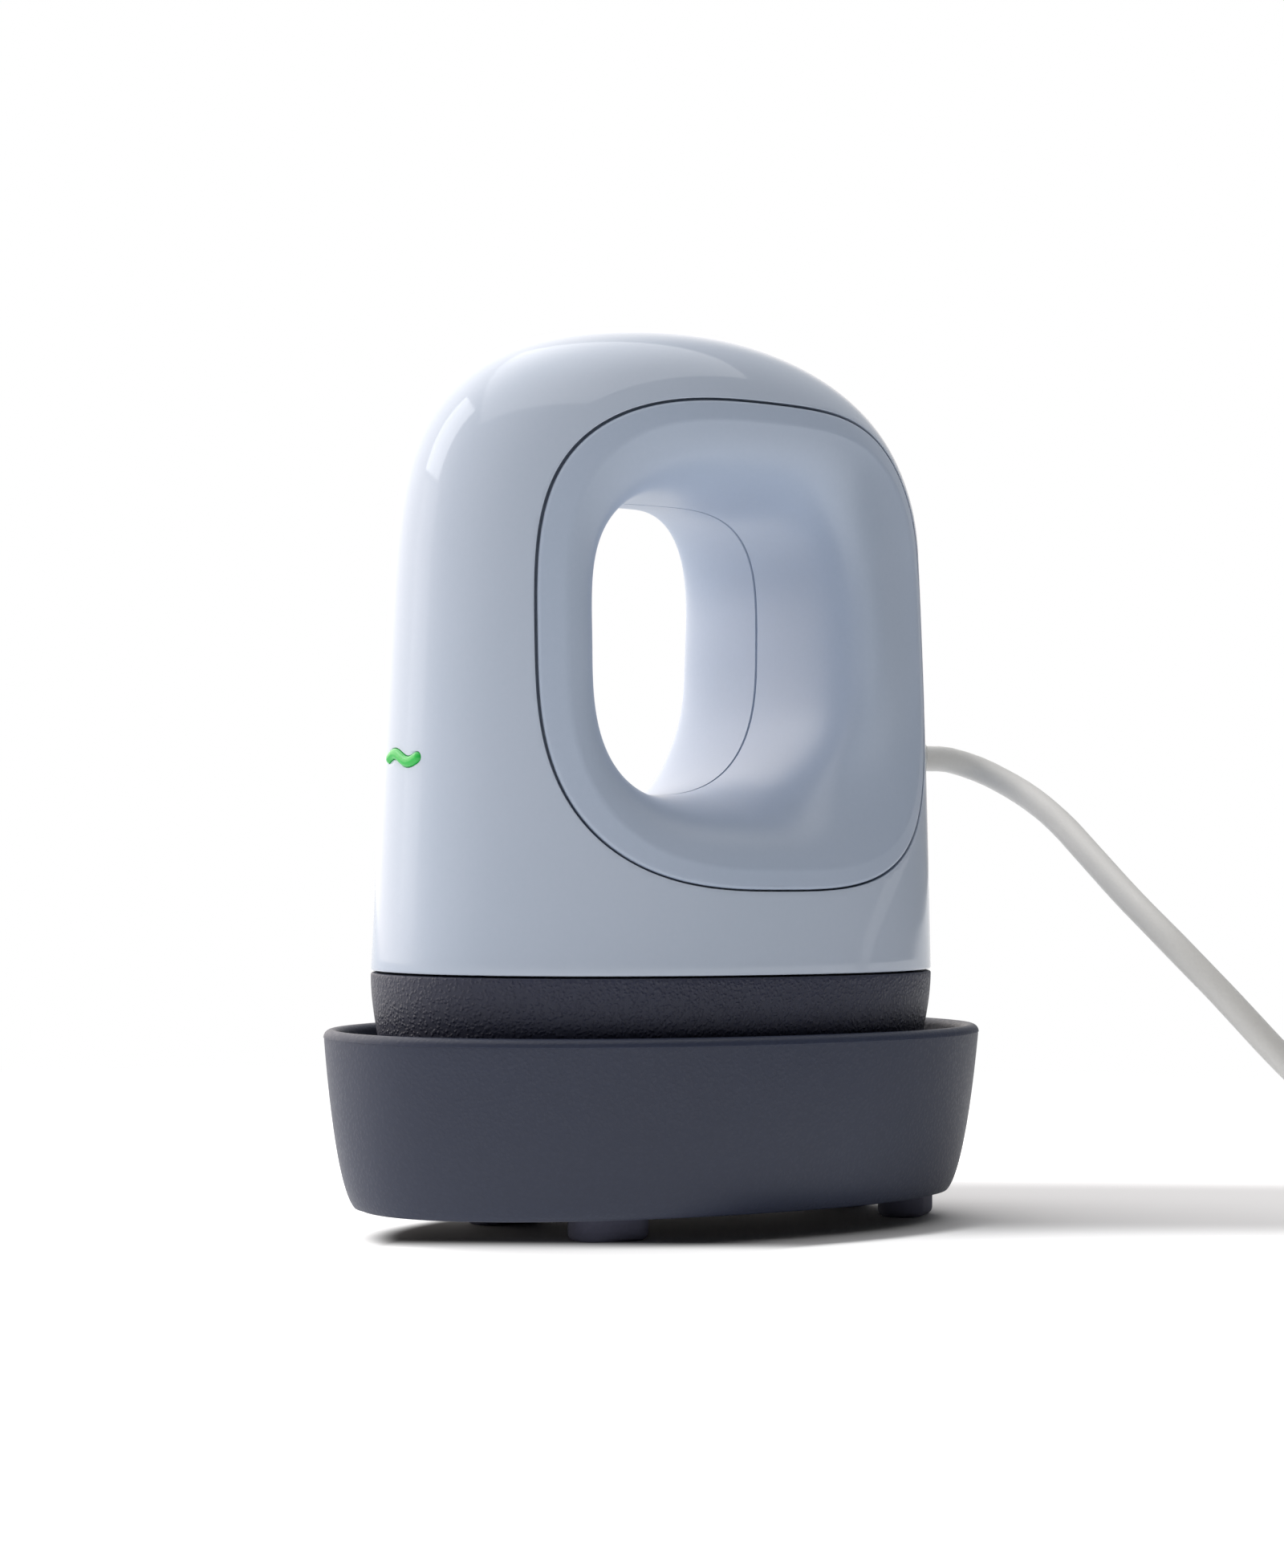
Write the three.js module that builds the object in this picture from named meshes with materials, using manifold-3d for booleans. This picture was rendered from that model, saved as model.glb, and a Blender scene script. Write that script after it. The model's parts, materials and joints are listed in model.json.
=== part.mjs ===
// A mini heat press standing in its safety tray, with its power cord put away in a coil beside it.
// Millimetres, +Z up, floor at z = 0. The light is at the front, -Y, and the cord leaves at the rear, +Y.
import * as THREE from 'three';
import { mergeVertices } from 'three/addons/utils/BufferGeometryUtils.js';
import Module from 'manifold-3d';

const wasm = await Module();
wasm.setup();

// Clearances
const SEAT_GAP = 0.2; // between a piece and the flat face that carries it
const FIT_GAP = 0.3; // between a piece and the hole or rim around it
const GROOVE_GAP = 0.4; // the dark line round each handle insert
const FACE_GAP = 0.3; // between the ends of the cord's pieces

// Plan of the press where the shell meets the skirt
const PLAN_HALF_WIDTH = 30.6;
const PLAN_FRONT = 50.3; // from the widest line to the nose
const PLAN_REAR = 44.6; // from the widest line to the rear
const PLAN_WIDEST_Y = 2.8;
const FRONT_POWER = 2.1; // squareness of the plan's front half
const REAR_POWER = 2.33; // squareness of the plan's rear half
const TOP_POWER = 2.0; // squareness of the plan at the top of the dome

// Heights of the stack, from the floor up
const FOOT_HEIGHT = 3.8;
const TRAY_HEIGHT = 27.6;
const TRAY_FLOOR = 2.4;
const LINER_THICKNESS = 3.1;
const PLATE_THICKNESS = 5;
const PLATE_PROUD = 1.3; // how far the hot face stands below the skirt
const SKIRT_HEIGHT = 28.3;
const SHELL_HEIGHT = 98.5;

const TRAY_BOTTOM = FOOT_HEIGHT + SEAT_GAP;
const TRAY_TOP = TRAY_BOTTOM + TRAY_HEIGHT;
const LINER_BOTTOM = TRAY_BOTTOM + TRAY_FLOOR + SEAT_GAP;
const PLATE_BOTTOM = LINER_BOTTOM + LINER_THICKNESS + SEAT_GAP;
const PLATE_TOP = PLATE_BOTTOM + PLATE_THICKNESS;
const SKIRT_BOTTOM = PLATE_BOTTOM + PLATE_PROUD;
const SKIRT_TOP = SKIRT_BOTTOM + SKIRT_HEIGHT;
const SHELL_BOTTOM = SKIRT_TOP + FIT_GAP;
const SHELL_TOP = SHELL_BOTTOM + SHELL_HEIGHT;

// Shell: straight tapered sides that run into curved corners
const SHELL_WALL = 2.2;
const CROWN_Y = -4.4; // the dome's highest point
const FRONT_TAPER = 0.043;
const REAR_TAPER = 0.016;
const SIDE_TAPER = 0.04;
const FRONT_STRAIGHT = 56.4; // height of the straight stretch above the seam
const REAR_STRAIGHT = 66.1;
const SIDE_STRAIGHT = 81.1;
const FRONT_CORNER = [0.624, 0.873]; // how far the corner curve leans up, then out
const REAR_CORNER = [0.724, 0.457];
const SIDE_CORNER = [0.709, 0.691];

// Handle window and the hole through the handle, seen from the side
const WINDOW_Y = 2.45;
const WINDOW_HEIGHT = 49.2; // its centre, above the seam
const WINDOW_HALF_LENGTH = 37.6;
const WINDOW_HALF_HEIGHT = 36.8;
const WINDOW_POWER = [3.4, 3.0]; // squareness above and below the centre
const WAIST_Y = -1.37;
const WAIST_HEIGHT = 49.55;
const WAIST_HALF_LENGTH = 21.17;
const WAIST_HALF_HEIGHT = 22.55;
const WAIST_FRONT_POWER = [3.1, 2.95]; // above and below its middle
const WAIST_REAR_POWER = [3.6, 2.65];
const INSERT_WALL = 1.8;
const CREASE_SLOPE = 0.4; // how far the rim's inner edge turns in at its crease
const FLANGE = [4.0, 2.6, 3.3]; // the rim that follows the shell: front, rear, top and bottom
const CREST_REACH = [9.1, 17.1, 3.3]; // roundness of the edge into the hole
const FRONT_CORNER_REACH = [1.2, 0]; // what the edge's corners add to it, above and below
const REAR_CORNER_REACH = [3.3, 6];
const WALL_REACH = [13.8, 33.5, 26.9]; // straightness of the hole's walls

// Tray
const TRAY_HALF_WIDTH = 35.4;
const TRAY_FRONT_GROWTH = 7.7; // how far its rim stands past the plan
const TRAY_REAR_GROWTH = 9;
const TRAY_WALL = 2.4;
const TRAY_SIDE_INSET = 7.8; // how far the side walls draw in down to the bottom
const TRAY_FRONT_INSET = 5.1;
const TRAY_REAR_INSET = 4.2;
const TRAY_BELLY = [0.62, 0.25, 0.98, 0.6]; // handles of the wall's curve: depth and inset, twice
const LINER_MARGIN = 3.2;
const FOOT_LENGTH = 12.4;
const FOOT_WIDTH = 7.5;
const FOOT_CORNER = 3.4;
const FOOT_CHAMFER = 1;
const FOOT_FRONT = [14.2, PLAN_WIDEST_Y - PLAN_FRONT + 29.3, 0.12]; // place, and its turn from y
const FOOT_REAR = [9.3, PLAN_WIDEST_Y + PLAN_REAR - 3.8, -0.65];

// Skirt, and what it holds below the frame
const SKIRT_INSET = 3.7; // how far it draws in down to its bottom edge
const SKIRT_WALL = 2;
const SPIGOT_HEIGHT = 3.5;
const SPIGOT_WALL = 1.8;
const SPIGOT_GAP = 0.6; // between the spigot and the shell, which draws in above the seam
const LIP_REACH = 2.2; // lip over the plate's rim
const LIP_THICKNESS = 1.8;
const LEDGE_REACH = 2.2; // ledge that carries the frame
const LEDGE_THICKNESS = 2;
const GASKET_THICKNESS = 1.2;
const GASKET_WIDTH = 1.8;
const TUBE_RADIUS = 2.7; // heating element
const ELEMENT_LEG_X = 8.5;
const ELEMENT_BEND_Y = -13;
const ELEMENT_END_Y = 27;
const CLAMP_PLATE = 1.2;
const INSULATION_THICKNESS = 5;
const SHIELD_THICKNESS = 0.8;
const STACK_MARGIN = 4.2; // from the plate's outline to the edges of the stacked sheets
const SENSOR_RADIUS = 3.6;
const SENSOR_HEIGHT = 4.2;
const FUSE_RADIUS = 2;
const FUSE_Y = 11;
const FUSE_LENGTH = 11;
const STUD_RADIUS = 2.8; // studs cast on the plate, which carry the frame
const STUD_HEIGHT = 18.3;
const STUD_PLACES = [[15, -13], [-15, -13], [15, 17], [-15, 17]];
const SCREW_RADIUS = 1.4;
const SCREW_HEAD_RADIUS = 2.6;
const SCREW_HEAD_HEIGHT = 1.8;
const SCREW_BITE = 7; // how far a screw goes into its stud or boss

// Frame inside the press
const FRAME_THICKNESS = 2.2;
const POST_THICKNESS = 3;
const FRONT_POST_HALF_WIDTH = 7;
const RAIL_X = 6.6; // middle of each of the two rails behind the handle
const RAIL_HALF_WIDTH = 2.1;
const RAIL_Y = 25; // their front face
const CROSSBAR_THICKNESS = 2;
const BOSS_RADIUS = 3.2;
const BOSS_PLACES = [[17.5, -22], [-17.5, -22], [18, 27], [-18, 27]];
const BOSS_HEIGHT = 10;
const BOARD_POSTS = [[10.5, -26], [-10.5, -26], [10.5, 10], [-10.5, 10]];
const BOARD_POST_RADIUS = 2;
const BOARD_POST_HEIGHT = 5.4;
const BOARD_THICKNESS = 1.6;
const BOARD_HALF_WIDTH = 13;
const BOARD_FRONT_Y = -30;
const BOARD_REAR_Y = 17;
const RELAY = { width: 11.5, length: 16, height: 12, x: -6.7, y: -0.5 };
const CAPACITOR = { width: 10, length: 15, height: 9, x: 7, y: -0.5 };
const SUPPLY_MODULE = { width: 18, length: 15, height: 11, x: 0, y: -18.5 };
const BUZZER = { radius: 4, height: 5, x: 7.5, y: 12.3 };
const TERMINAL = { width: 8, length: 8.4, height: 9, x: 0, y: 25.4 };
const HEATER_LEAD_X = 10;
const HEATER_LEAD_Y = 33;
const LEAD_RADIUS = 0.9;
const SUPPLY_LEAD_X = 2.4;
const SUPPLY_LEAD_RADIUS = 1.4;
const FINE_WIRE = 0.7;
const WIRE_HOLE = [0, 18.9]; // where the fuse's lead goes up through the stack

// Light, button and cord outlet
const LIGHT_HEIGHT = 71.7; // above the floor
const LIGHT_X = -0.5;
const LIGHT_HALF_LENGTH = 3.95;
const LIGHT_SWING = 0.62; // height of the wave's crest
const LIGHT_STROKE = 1.6;
const LIGHT_PROUD = 0.45;
const LENS_FLANGE = 0.8;
const LENS_FLANGE_MARGIN = 0.6; // past the wave's line at each end
const LENS_FLANGE_HALF_HEIGHT = 2.8;
const LED_DEPTH = 1;
const LIGHT_BOARD_HALF = 6;
const BUTTON_HEIGHT = 100;
const BUTTON_RADIUS = 5.5;
const BUTTON_FLANGE = 1.1;
const BUTTON_FLANGE_REACH = 1.1;
const BUTTON_PROUD = 0.7;
const BUTTON_TRAVEL = 1;
const SWITCH_DEPTH = 1.8;
const SWITCH_HALF = 3;
const SWITCH_BOARD_HALF_WIDTH = 8;
const SWITCH_BOARD_HALF_HEIGHT = 7;
const SWITCH_LEAD_X = 12.2; // where it meets the control board
const CORD_HEIGHT = 73.6;
const BUSHING_RADIUS = 4;
const BUSHING_FLANGE_RADIUS = 5.4;
const BUSHING_FLANGE = 1;
const BUSHING_INNER_REACH = 10.2; // from the shell's inside face into the press
const INNER_CORD_Y = 24; // the cord's centreline where it goes down inside
const CLAMP_HEIGHT = 56;
const CLAMP_HALF_HEIGHT = 3.5;
const CLAMP_BAR = 2.6;
const CLAMP_SCREW_RADIUS = 1;
const BOOT_REACH = 7; // from the shell's rear face out

// Power cord
const CORD_RADIUS = 2.1;
const COIL_TURNS_PER_LAYER = 2.75;
const COIL_PITCH = 4.8;
const COIL_LAYER = 4.75;
const COIL_OUTER = 29.8; // centreline radius of the outermost turn
const COIL_CENTRE = [122.5, 67];
const COIL_LIFT = 1.2; // the strap's thickness under the coil
const COIL_LAST_TURNS = 2.667; // turns in the fourth layer, before the cord rises to the plug
const COIL_STEPS = 24; // to a turn
const LEAD_ARC = Math.PI * 2 / 3; // the last bend, from the coil's edge to the plug
const STRAP_WIDTH = 9;
const STRAP_ANGLE = Math.PI * 1.15; // its place round the coil, clockwise from the rear
const STRAP_THICKNESS = 0.9;
const PLUG_LENGTH = 26;
const PLUG_WIDTH = 17;
const PLUG_THICKNESS = 11;
const PLUG_BOOT = 9;
const PIN_LENGTH = 16;
const PIN_WIDTH = 6.3;
const PIN_THICKNESS = 1.5;
const PIN_SPACING = 12.7;

const SEGMENTS = 48; // round the large shells
const FINE = 32; // round the inner pieces
const COARSE = 26; // round thin sheets
const SCREW_SIDES = 10;

const point = (x, y, z) => new THREE.Vector3(x, y, z);
const mix = (a, b, t) => a + (b - a) * t;
const rootOf = (cosine, power) => Math.sign(cosine) * Math.abs(cosine) ** (2 / power);

// Solids

function solid(geometry) {
  const bare = geometry.clone();
  bare.deleteAttribute('normal');
  bare.deleteAttribute('uv');
  const merged = mergeVertices(bare, 1e-4);
  return new wasm.Manifold(new wasm.Mesh({
    numProp: 3,
    vertProperties: new Float32Array(merged.attributes.position.array),
    triVerts: new Uint32Array(merged.index.array),
  }));
}

function geometryOf(manifold) {
  const mesh = manifold.getMesh();
  const geometry = new THREE.BufferGeometry();
  geometry.setAttribute('position', new THREE.BufferAttribute(new Float32Array(mesh.vertProperties), 3));
  geometry.setIndex(new THREE.BufferAttribute(new Uint32Array(mesh.triVerts), 1));
  return geometry;
}

const join = (...geometries) => geometryOf(geometries.map(solid).reduce((a, b) => a.add(b)));
const cut = (geometry, ...tools) => geometryOf(tools.map(solid).reduce((a, b) => a.subtract(b), solid(geometry)));
const common = (a, b) => geometryOf(solid(a).intersect(solid(b)));

function box(x0, x1, y0, y1, z0, z1) {
  const geometry = new THREE.BoxGeometry(x1 - x0, y1 - y0, z1 - z0);
  return geometry.translate((x0 + x1) / 2, (y0 + y1) / 2, (z0 + z1) / 2);
}

// A block by its size and the middle of its base.
const block = ({ width, length, height, x, y }, z) => (
  box(x - width / 2, x + width / 2, y - length / 2, y + length / 2, z, z + height));

function rod(radius, x, y, z0, z1, sides = 16) {
  const geometry = new THREE.CylinderGeometry(radius, radius, z1 - z0, sides);
  return geometry.rotateX(Math.PI / 2).translate(x, y, (z0 + z1) / 2);
}

function rodAlongY(radius, x, z, y0, y1, sides = 24) {
  const geometry = new THREE.CylinderGeometry(radius, radius, y1 - y0, sides);
  return geometry.translate(x, (y0 + y1) / 2, z);
}

// Skins a stack of rings of points. Rings run counter-clockwise seen from above, up the outside and down
// the inside; a closed stack joins its last ring to its first, and an open one is capped at both ends.
function skin(rings, closed = false) {
  const count = rings[0].length;
  const points = rings.flat();
  const triangles = [];
  const strips = closed ? rings.length : rings.length - 1;
  for (let k = 0; k < strips; k++) {
    const low = k * count;
    const high = ((k + 1) % rings.length) * count;
    for (let i = 0; i < count; i++) {
      const j = (i + 1) % count;
      triangles.push(low + i, low + j, high + j, low + i, high + j, high + i);
    }
  }
  if (!closed) {
    for (const [ring, start, turned] of [[rings[0], 0, true], [rings.at(-1), (rings.length - 1) * count, false]]) {
      const middle = ring.reduce((sum, p) => sum.add(p), point(0, 0, 0)).divideScalar(count);
      points.push(middle);
      for (let i = 0; i < count; i++) {
        const [a, b] = turned ? [(i + 1) % count, i] : [i, (i + 1) % count];
        triangles.push(points.length - 1, start + a, start + b);
      }
    }
  }
  const geometry = new THREE.BufferGeometry().setFromPoints(points);
  geometry.setIndex(triangles);
  return geometry;
}

// Plan outlines

function outline({ half, front, rear, middle, powers }, z, count) {
  return Array.from({ length: count }, (_, i) => {
    const angle = i / count * Math.PI * 2;
    const [c, s] = [Math.cos(angle), Math.sin(angle)];
    const power = s < 0 ? powers[0] : powers[1];
    return point(half * rootOf(c, power), middle + (s < 0 ? front : rear) * rootOf(s, power), z);
  });
}

const planInset = (inset) => ({
  half: PLAN_HALF_WIDTH - inset,
  front: PLAN_FRONT - inset,
  rear: PLAN_REAR - inset,
  middle: PLAN_WIDEST_Y,
  powers: [FRONT_POWER, REAR_POWER],
});

// A solid from pairs of inset and height, walked up the outside and down the inside.
function insetStack(pairs, { closed = false, count = FINE } = {}) {
  return skin(pairs.map(([inset, z]) => outline(planInset(inset), z, count)), closed);
}

const sheet = (inset, z0, z1) => insetStack([[inset, z0], [inset, z1]], { count: COARSE });
const band = (outer, inner, z0, z1) => insetStack([[outer, z0], [outer, z1], [inner, z1], [inner, z0]],
  { closed: true, count: COARSE });

// Shell

const cornerCurve = (start, slope, rise, end, [lean, spread]) => new THREE.CubicBezierCurve(
  new THREE.Vector2(start, 0),
  new THREE.Vector2(start + slope * lean * rise, lean * rise),
  new THREE.Vector2(mix(end, start, spread), rise),
  new THREE.Vector2(end, rise),
);

// A side of the dome at a height above the seam: tapered, then the corner curve up to the crown.
function sideProfile(base, slope, straight, end, corner) {
  const start = base + slope * straight;
  const rise = SHELL_HEIGHT - straight;
  const curve = cornerCurve(start, slope, rise, end, corner);
  return (height) => {
    if (height <= straight) return base + slope * height;
    let [low, high] = [0, 1];
    for (let step = 0; step < 40; step++) {
      const t = (low + high) / 2;
      if (curve.getPoint(t).y < height - straight) low = t;
      else high = t;
    }
    return curve.getPoint((low + high) / 2).x;
  };
}

const frontEdge = sideProfile(PLAN_WIDEST_Y - PLAN_FRONT, FRONT_TAPER, FRONT_STRAIGHT, CROWN_Y, FRONT_CORNER);
const rearEdge = sideProfile(PLAN_WIDEST_Y + PLAN_REAR, -REAR_TAPER, REAR_STRAIGHT, CROWN_Y, REAR_CORNER);
const sideEdge = sideProfile(PLAN_HALF_WIDTH, -SIDE_TAPER, SIDE_STRAIGHT, 0, SIDE_CORNER);

function domeSection(z) {
  const height = THREE.MathUtils.clamp(z - SHELL_BOTTOM, 0, SHELL_HEIGHT);
  const share = height / SHELL_HEIGHT;
  const middle = mix(PLAN_WIDEST_Y, CROWN_Y, share ** 2);
  return {
    half: sideEdge(height),
    front: middle - frontEdge(height),
    rear: rearEdge(height) - middle,
    middle,
    powers: [mix(FRONT_POWER, TOP_POWER, share ** 3), mix(REAR_POWER, TOP_POWER, share ** 3)],
  };
}

// Half the dome's width at a place on its side.
function domeHalfWidth(y, z) {
  const { half, front, rear, middle, powers } = domeSection(z);
  const ahead = y < middle;
  const reach = Math.abs(y - middle) / (ahead ? front : rear);
  const power = powers[ahead ? 0 : 1];
  return half * Math.max(1 - reach ** power, 0) ** (1 / power);
}

const frontFace = (z) => frontEdge(z - SHELL_BOTTOM);
const rearFace = (z) => rearEdge(z - SHELL_BOTTOM);

function dome(rings, count) {
  const heights = Array.from({ length: rings }, (_, k) => SHELL_HEIGHT * Math.sin(k / rings * Math.PI / 2));
  return skin(heights.map((h) => outline(domeSection(SHELL_BOTTOM + h), SHELL_BOTTOM + h, count))
    .concat([[...Array(count)].map(() => point(0, CROWN_Y, SHELL_TOP))]));
}

// The dome's inside: the same form, drawn in by the wall on every side, and open at the bottom.
function domeHollow() {
  const geometry = dome(8, FINE).translate(0, -PLAN_WIDEST_Y, -SHELL_BOTTOM);
  geometry.scale(
    (PLAN_HALF_WIDTH - SHELL_WALL) / PLAN_HALF_WIDTH,
    (PLAN_REAR - SHELL_WALL) / PLAN_REAR,
    (SHELL_HEIGHT - SHELL_WALL) / SHELL_HEIGHT,
  );
  const mouth = outline(planInset(SHELL_WALL), SHELL_BOTTOM - 1, FINE);
  const lid = mouth.map((p) => p.clone().setZ(SHELL_BOTTOM + 1));
  return join(geometry.translate(0, PLAN_WIDEST_Y, SHELL_BOTTOM), skin([mouth, lid]));
}

// Loops seen from the side: y and z at an angle, with the front at half a turn.
function sideLoop(angle, y, z, halfLength, halfHeight, [above, below]) {
  const [c, s] = [Math.cos(angle), Math.sin(angle)];
  const power = s > 0 ? above : below;
  return [y + halfLength * rootOf(c, power), z + halfHeight * rootOf(s, power)];
}

const windowLoop = (angle, inset) => sideLoop(angle, WINDOW_Y, SHELL_BOTTOM + WINDOW_HEIGHT,
  WINDOW_HALF_LENGTH - inset, WINDOW_HALF_HEIGHT - inset, WINDOW_POWER);
const waistLoop = (angle) => sideLoop(angle, WAIST_Y, SHELL_BOTTOM + WAIST_HEIGHT,
  WAIST_HALF_LENGTH, WAIST_HALF_HEIGHT, Math.cos(angle) < 0 ? WAIST_FRONT_POWER : WAIST_REAR_POWER);

const angles = (count) => Array.from({ length: count }, (_, i) => i / count * Math.PI * 2);

function windowPrism() {
  const reach = PLAN_HALF_WIDTH + 5;
  const ring = (x) => angles(FINE).map((a) => windowLoop(a, 0)).map(([y, z]) => point(x, y, z));
  return skin([ring(-reach), ring(reach)]);
}

// The indicator's wave, as an outline in x and z, extruded along y.
function wavePrism(stroke, y0, y1) {
  const steps = 12;
  const line = Array.from({ length: steps + 1 }, (_, i) => {
    const x = mix(-LIGHT_HALF_LENGTH, LIGHT_HALF_LENGTH, i / steps);
    return new THREE.Vector2(x, -LIGHT_SWING * Math.sin(x / LIGHT_HALF_LENGTH * Math.PI));
  });
  const sides = line.map((p, i) => {
    const along = line[Math.min(i + 1, steps)].clone().sub(line[Math.max(i - 1, 0)]).normalize();
    return new THREE.Vector2(-along.y, along.x).multiplyScalar(stroke / 2);
  });
  const cap = (i, turn) => [1, 2, 3].map((k) => line[i].clone().add(
    sides[i].clone().rotateAround(new THREE.Vector2(), turn * k * Math.PI / 4)));
  const edge = [
    ...line.map((p, i) => p.clone().sub(sides[i])),
    ...cap(steps, -1).reverse(),
    ...line.map((p, i) => p.clone().add(sides[i])).reverse(),
    ...cap(0, 1),
  ];
  const geometry = new THREE.ExtrudeGeometry(new THREE.Shape(edge), { depth: y1 - y0, bevelEnabled: false });
  return geometry.rotateX(Math.PI / 2).translate(LIGHT_X, y1, LIGHT_HEIGHT);
}

// Where the lens, the button and the bushing meet the shell's inside face
const insideHeight = (z) => (z - SHELL_BOTTOM) * SHELL_HEIGHT / (SHELL_HEIGHT - SHELL_WALL);
const drawnIn = (y) => PLAN_WIDEST_Y + (y - PLAN_WIDEST_Y) * (PLAN_REAR - SHELL_WALL) / PLAN_REAR;
const frontInside = (z) => drawnIn(frontEdge(insideHeight(z)));
const rearInside = (z) => drawnIn(rearEdge(insideHeight(z)));
const CURVE_GAP = 0.95; // room for the shell's curve beside each flange
const LENS_BACK_Y = frontInside(LIGHT_HEIGHT + LENS_FLANGE_HALF_HEIGHT) + CURVE_GAP;
const BUTTON_BACK_Y = rearInside(BUTTON_HEIGHT + BUTTON_RADIUS + BUTTON_FLANGE_REACH) - CURVE_GAP;
const BUSHING_BACK_Y = rearInside(CORD_HEIGHT + BUSHING_FLANGE_RADIUS) - CURVE_GAP;

const BOSS_BOTTOM = SKIRT_TOP + SPIGOT_HEIGHT + 0.5;

function shellBosses() {
  const top = BOSS_BOTTOM + BOSS_HEIGHT;
  const pieces = BOSS_PLACES.flatMap(([x, y]) => {
    const web = [x, x + Math.sign(x) * 12].sort((a, b) => a - b);
    return [
      rod(BOSS_RADIUS, x, y, BOSS_BOTTOM, top),
      box(web[0], web[1], y - 1.2, y + 1.2, BOSS_BOTTOM, top),
    ];
  });
  return common(join(...pieces), dome(14, SEGMENTS));
}

function outerShell() {
  const hollow = cut(dome(14, SEGMENTS), domeHollow());
  return cut(
    join(hollow, shellBosses()),
    windowPrism(),
    wavePrism(LIGHT_STROKE + 2 * 0.15, frontFace(LIGHT_HEIGHT) - 3, LENS_BACK_Y),
    rodAlongY(BUTTON_RADIUS + FIT_GAP, 0, BUTTON_HEIGHT, BUTTON_BACK_Y, rearFace(BUTTON_HEIGHT) + 3),
    rodAlongY(BUSHING_RADIUS + 0.2, 0, CORD_HEIGHT, BUSHING_BACK_Y, rearFace(CORD_HEIGHT) + 3),
    ...rodsAt(BOSS_PLACES, SCREW_RADIUS + 0.2, BOSS_BOTTOM - 1, BOSS_BOTTOM + SCREW_BITE + 0.4),
  );
}

// Handle inserts: a rim that follows the shell, a rounded edge, and the wall of the hole to its waist

function insertFace(angle, rows) {
  const [c, s] = [Math.cos(angle), Math.sin(angle)];
  const blend = ([front, rear, upright]) => (c < 0 ? front : rear) * c * c + upright * s * s;
  const corner = 4 * c * c * s * s * (c < 0 ? FRONT_CORNER_REACH : REAR_CORNER_REACH)[s > 0 ? 0 : 1];
  const onDome = (inset) => {
    const [y, z] = windowLoop(angle, inset);
    return point(domeHalfWidth(y, z), y, z);
  };
  const flange = blend(FLANGE);
  const edge = onDome(GROOVE_GAP);
  const crest = onDome(flange);
  const inward = crest.clone().sub(onDome(flange - 1)).normalize().add(point(-CREASE_SLOPE, 0, 0));
  const [waistY, waistZ] = waistLoop(angle);
  const waist = point(FACE_GAP / 2, waistY, waistZ);
  const curve = new THREE.CubicBezierCurve3(
    crest,
    crest.clone().addScaledVector(inward, blend(CREST_REACH) + corner),
    waist.clone().add(point(blend(WALL_REACH), 0, 0)),
    waist,
  );
  return [edge, onDome(mix(GROOVE_GAP, flange, 0.5)), ...curve.getPoints(rows)];
}

function handleInsert(side) {
  const count = FINE;
  const faces = angles(count).map((angle) => insertFace(angle, 7));
  const shown = faces[0].map((_, k) => faces.map((face) => face[k]));
  const hidden = shown.map((ring, k) => ring.map((p, i) => {
    const round = ring[(i + 1) % count].clone().sub(ring[(i + count - 1) % count]);
    const down = shown[Math.min(k + 1, shown.length - 1)][i].clone().sub(shown[Math.max(k - 1, 0)][i]);
    const normal = round.cross(down).normalize();
    if (k === shown.length - 1) normal.setX(0).normalize();
    return p.clone().addScaledVector(normal, -INSERT_WALL);
  }));
  const backed = hidden.filter((_, k) => k % 2 === 0 || k === hidden.length - 1);
  const geometry = skin([...shown, ...backed.reverse()], true);
  if (side > 0) return geometry;
  geometry.scale(-1, 1, 1);
  geometry.setIndex(geometry.index.array.reduce((all, _, i, index) => (
    i % 3 ? all : [...all, index[i], index[i + 2], index[i + 1]]), []));
  return geometry;
}

// Skirt

const skirtInset = (z) => SKIRT_INSET * (1 - Math.exp(-(((SKIRT_TOP - z) / 16) ** 2)));
const PLATE_INSET = SKIRT_INSET + SKIRT_WALL + 0.5;
const LIP_BOTTOM = PLATE_TOP + GASKET_THICKNESS + 2 * SEAT_GAP;
const LIP_TOP = LIP_BOTTOM + LIP_THICKNESS;
const STACK_BOTTOM = PLATE_TOP + SEAT_GAP + 2 * TUBE_RADIUS + SEAT_GAP;
const INSULATION_BOTTOM = STACK_BOTTOM + CLAMP_PLATE + SEAT_GAP;
const SHIELD_BOTTOM = INSULATION_BOTTOM + INSULATION_THICKNESS + SEAT_GAP;
const FRAME_BOTTOM = PLATE_TOP + STUD_HEIGHT + SEAT_GAP;
const FRAME_TOP = FRAME_BOTTOM + FRAME_THICKNESS;
const LEDGE_TOP = FRAME_BOTTOM - SEAT_GAP;

function skirt() {
  const steps = 5;
  const outside = Array.from({ length: steps + 1 }, (_, k) => mix(SKIRT_BOTTOM, SKIRT_TOP, k / steps))
    .map((z) => [skirtInset(z), z]);
  const inside = (z) => [skirtInset(z) + SKIRT_WALL, z];
  const spigot = SHELL_WALL + SPIGOT_GAP;
  return insetStack([
    ...outside,
    [spigot, SKIRT_TOP],
    [spigot, SKIRT_TOP + SPIGOT_HEIGHT],
    [spigot + SPIGOT_WALL, SKIRT_TOP + SPIGOT_HEIGHT],
    [spigot + SPIGOT_WALL, SKIRT_TOP - 1.5],
    inside(FRAME_TOP + 0.6),
    inside(LEDGE_TOP),
    [inside(LEDGE_TOP)[0] + LEDGE_REACH, LEDGE_TOP],
    [inside(LEDGE_TOP)[0] + LEDGE_REACH, LEDGE_TOP - LEDGE_THICKNESS],
    inside(LEDGE_TOP - LEDGE_THICKNESS - 1.5),
    inside(LIP_TOP),
    [PLATE_INSET + LIP_REACH, LIP_TOP],
    [PLATE_INSET + LIP_REACH, LIP_BOTTOM],
    inside(LIP_BOTTOM),
    inside(SKIRT_BOTTOM),
  ], { closed: true, count: SEGMENTS });
}

// Heater stack

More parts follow.
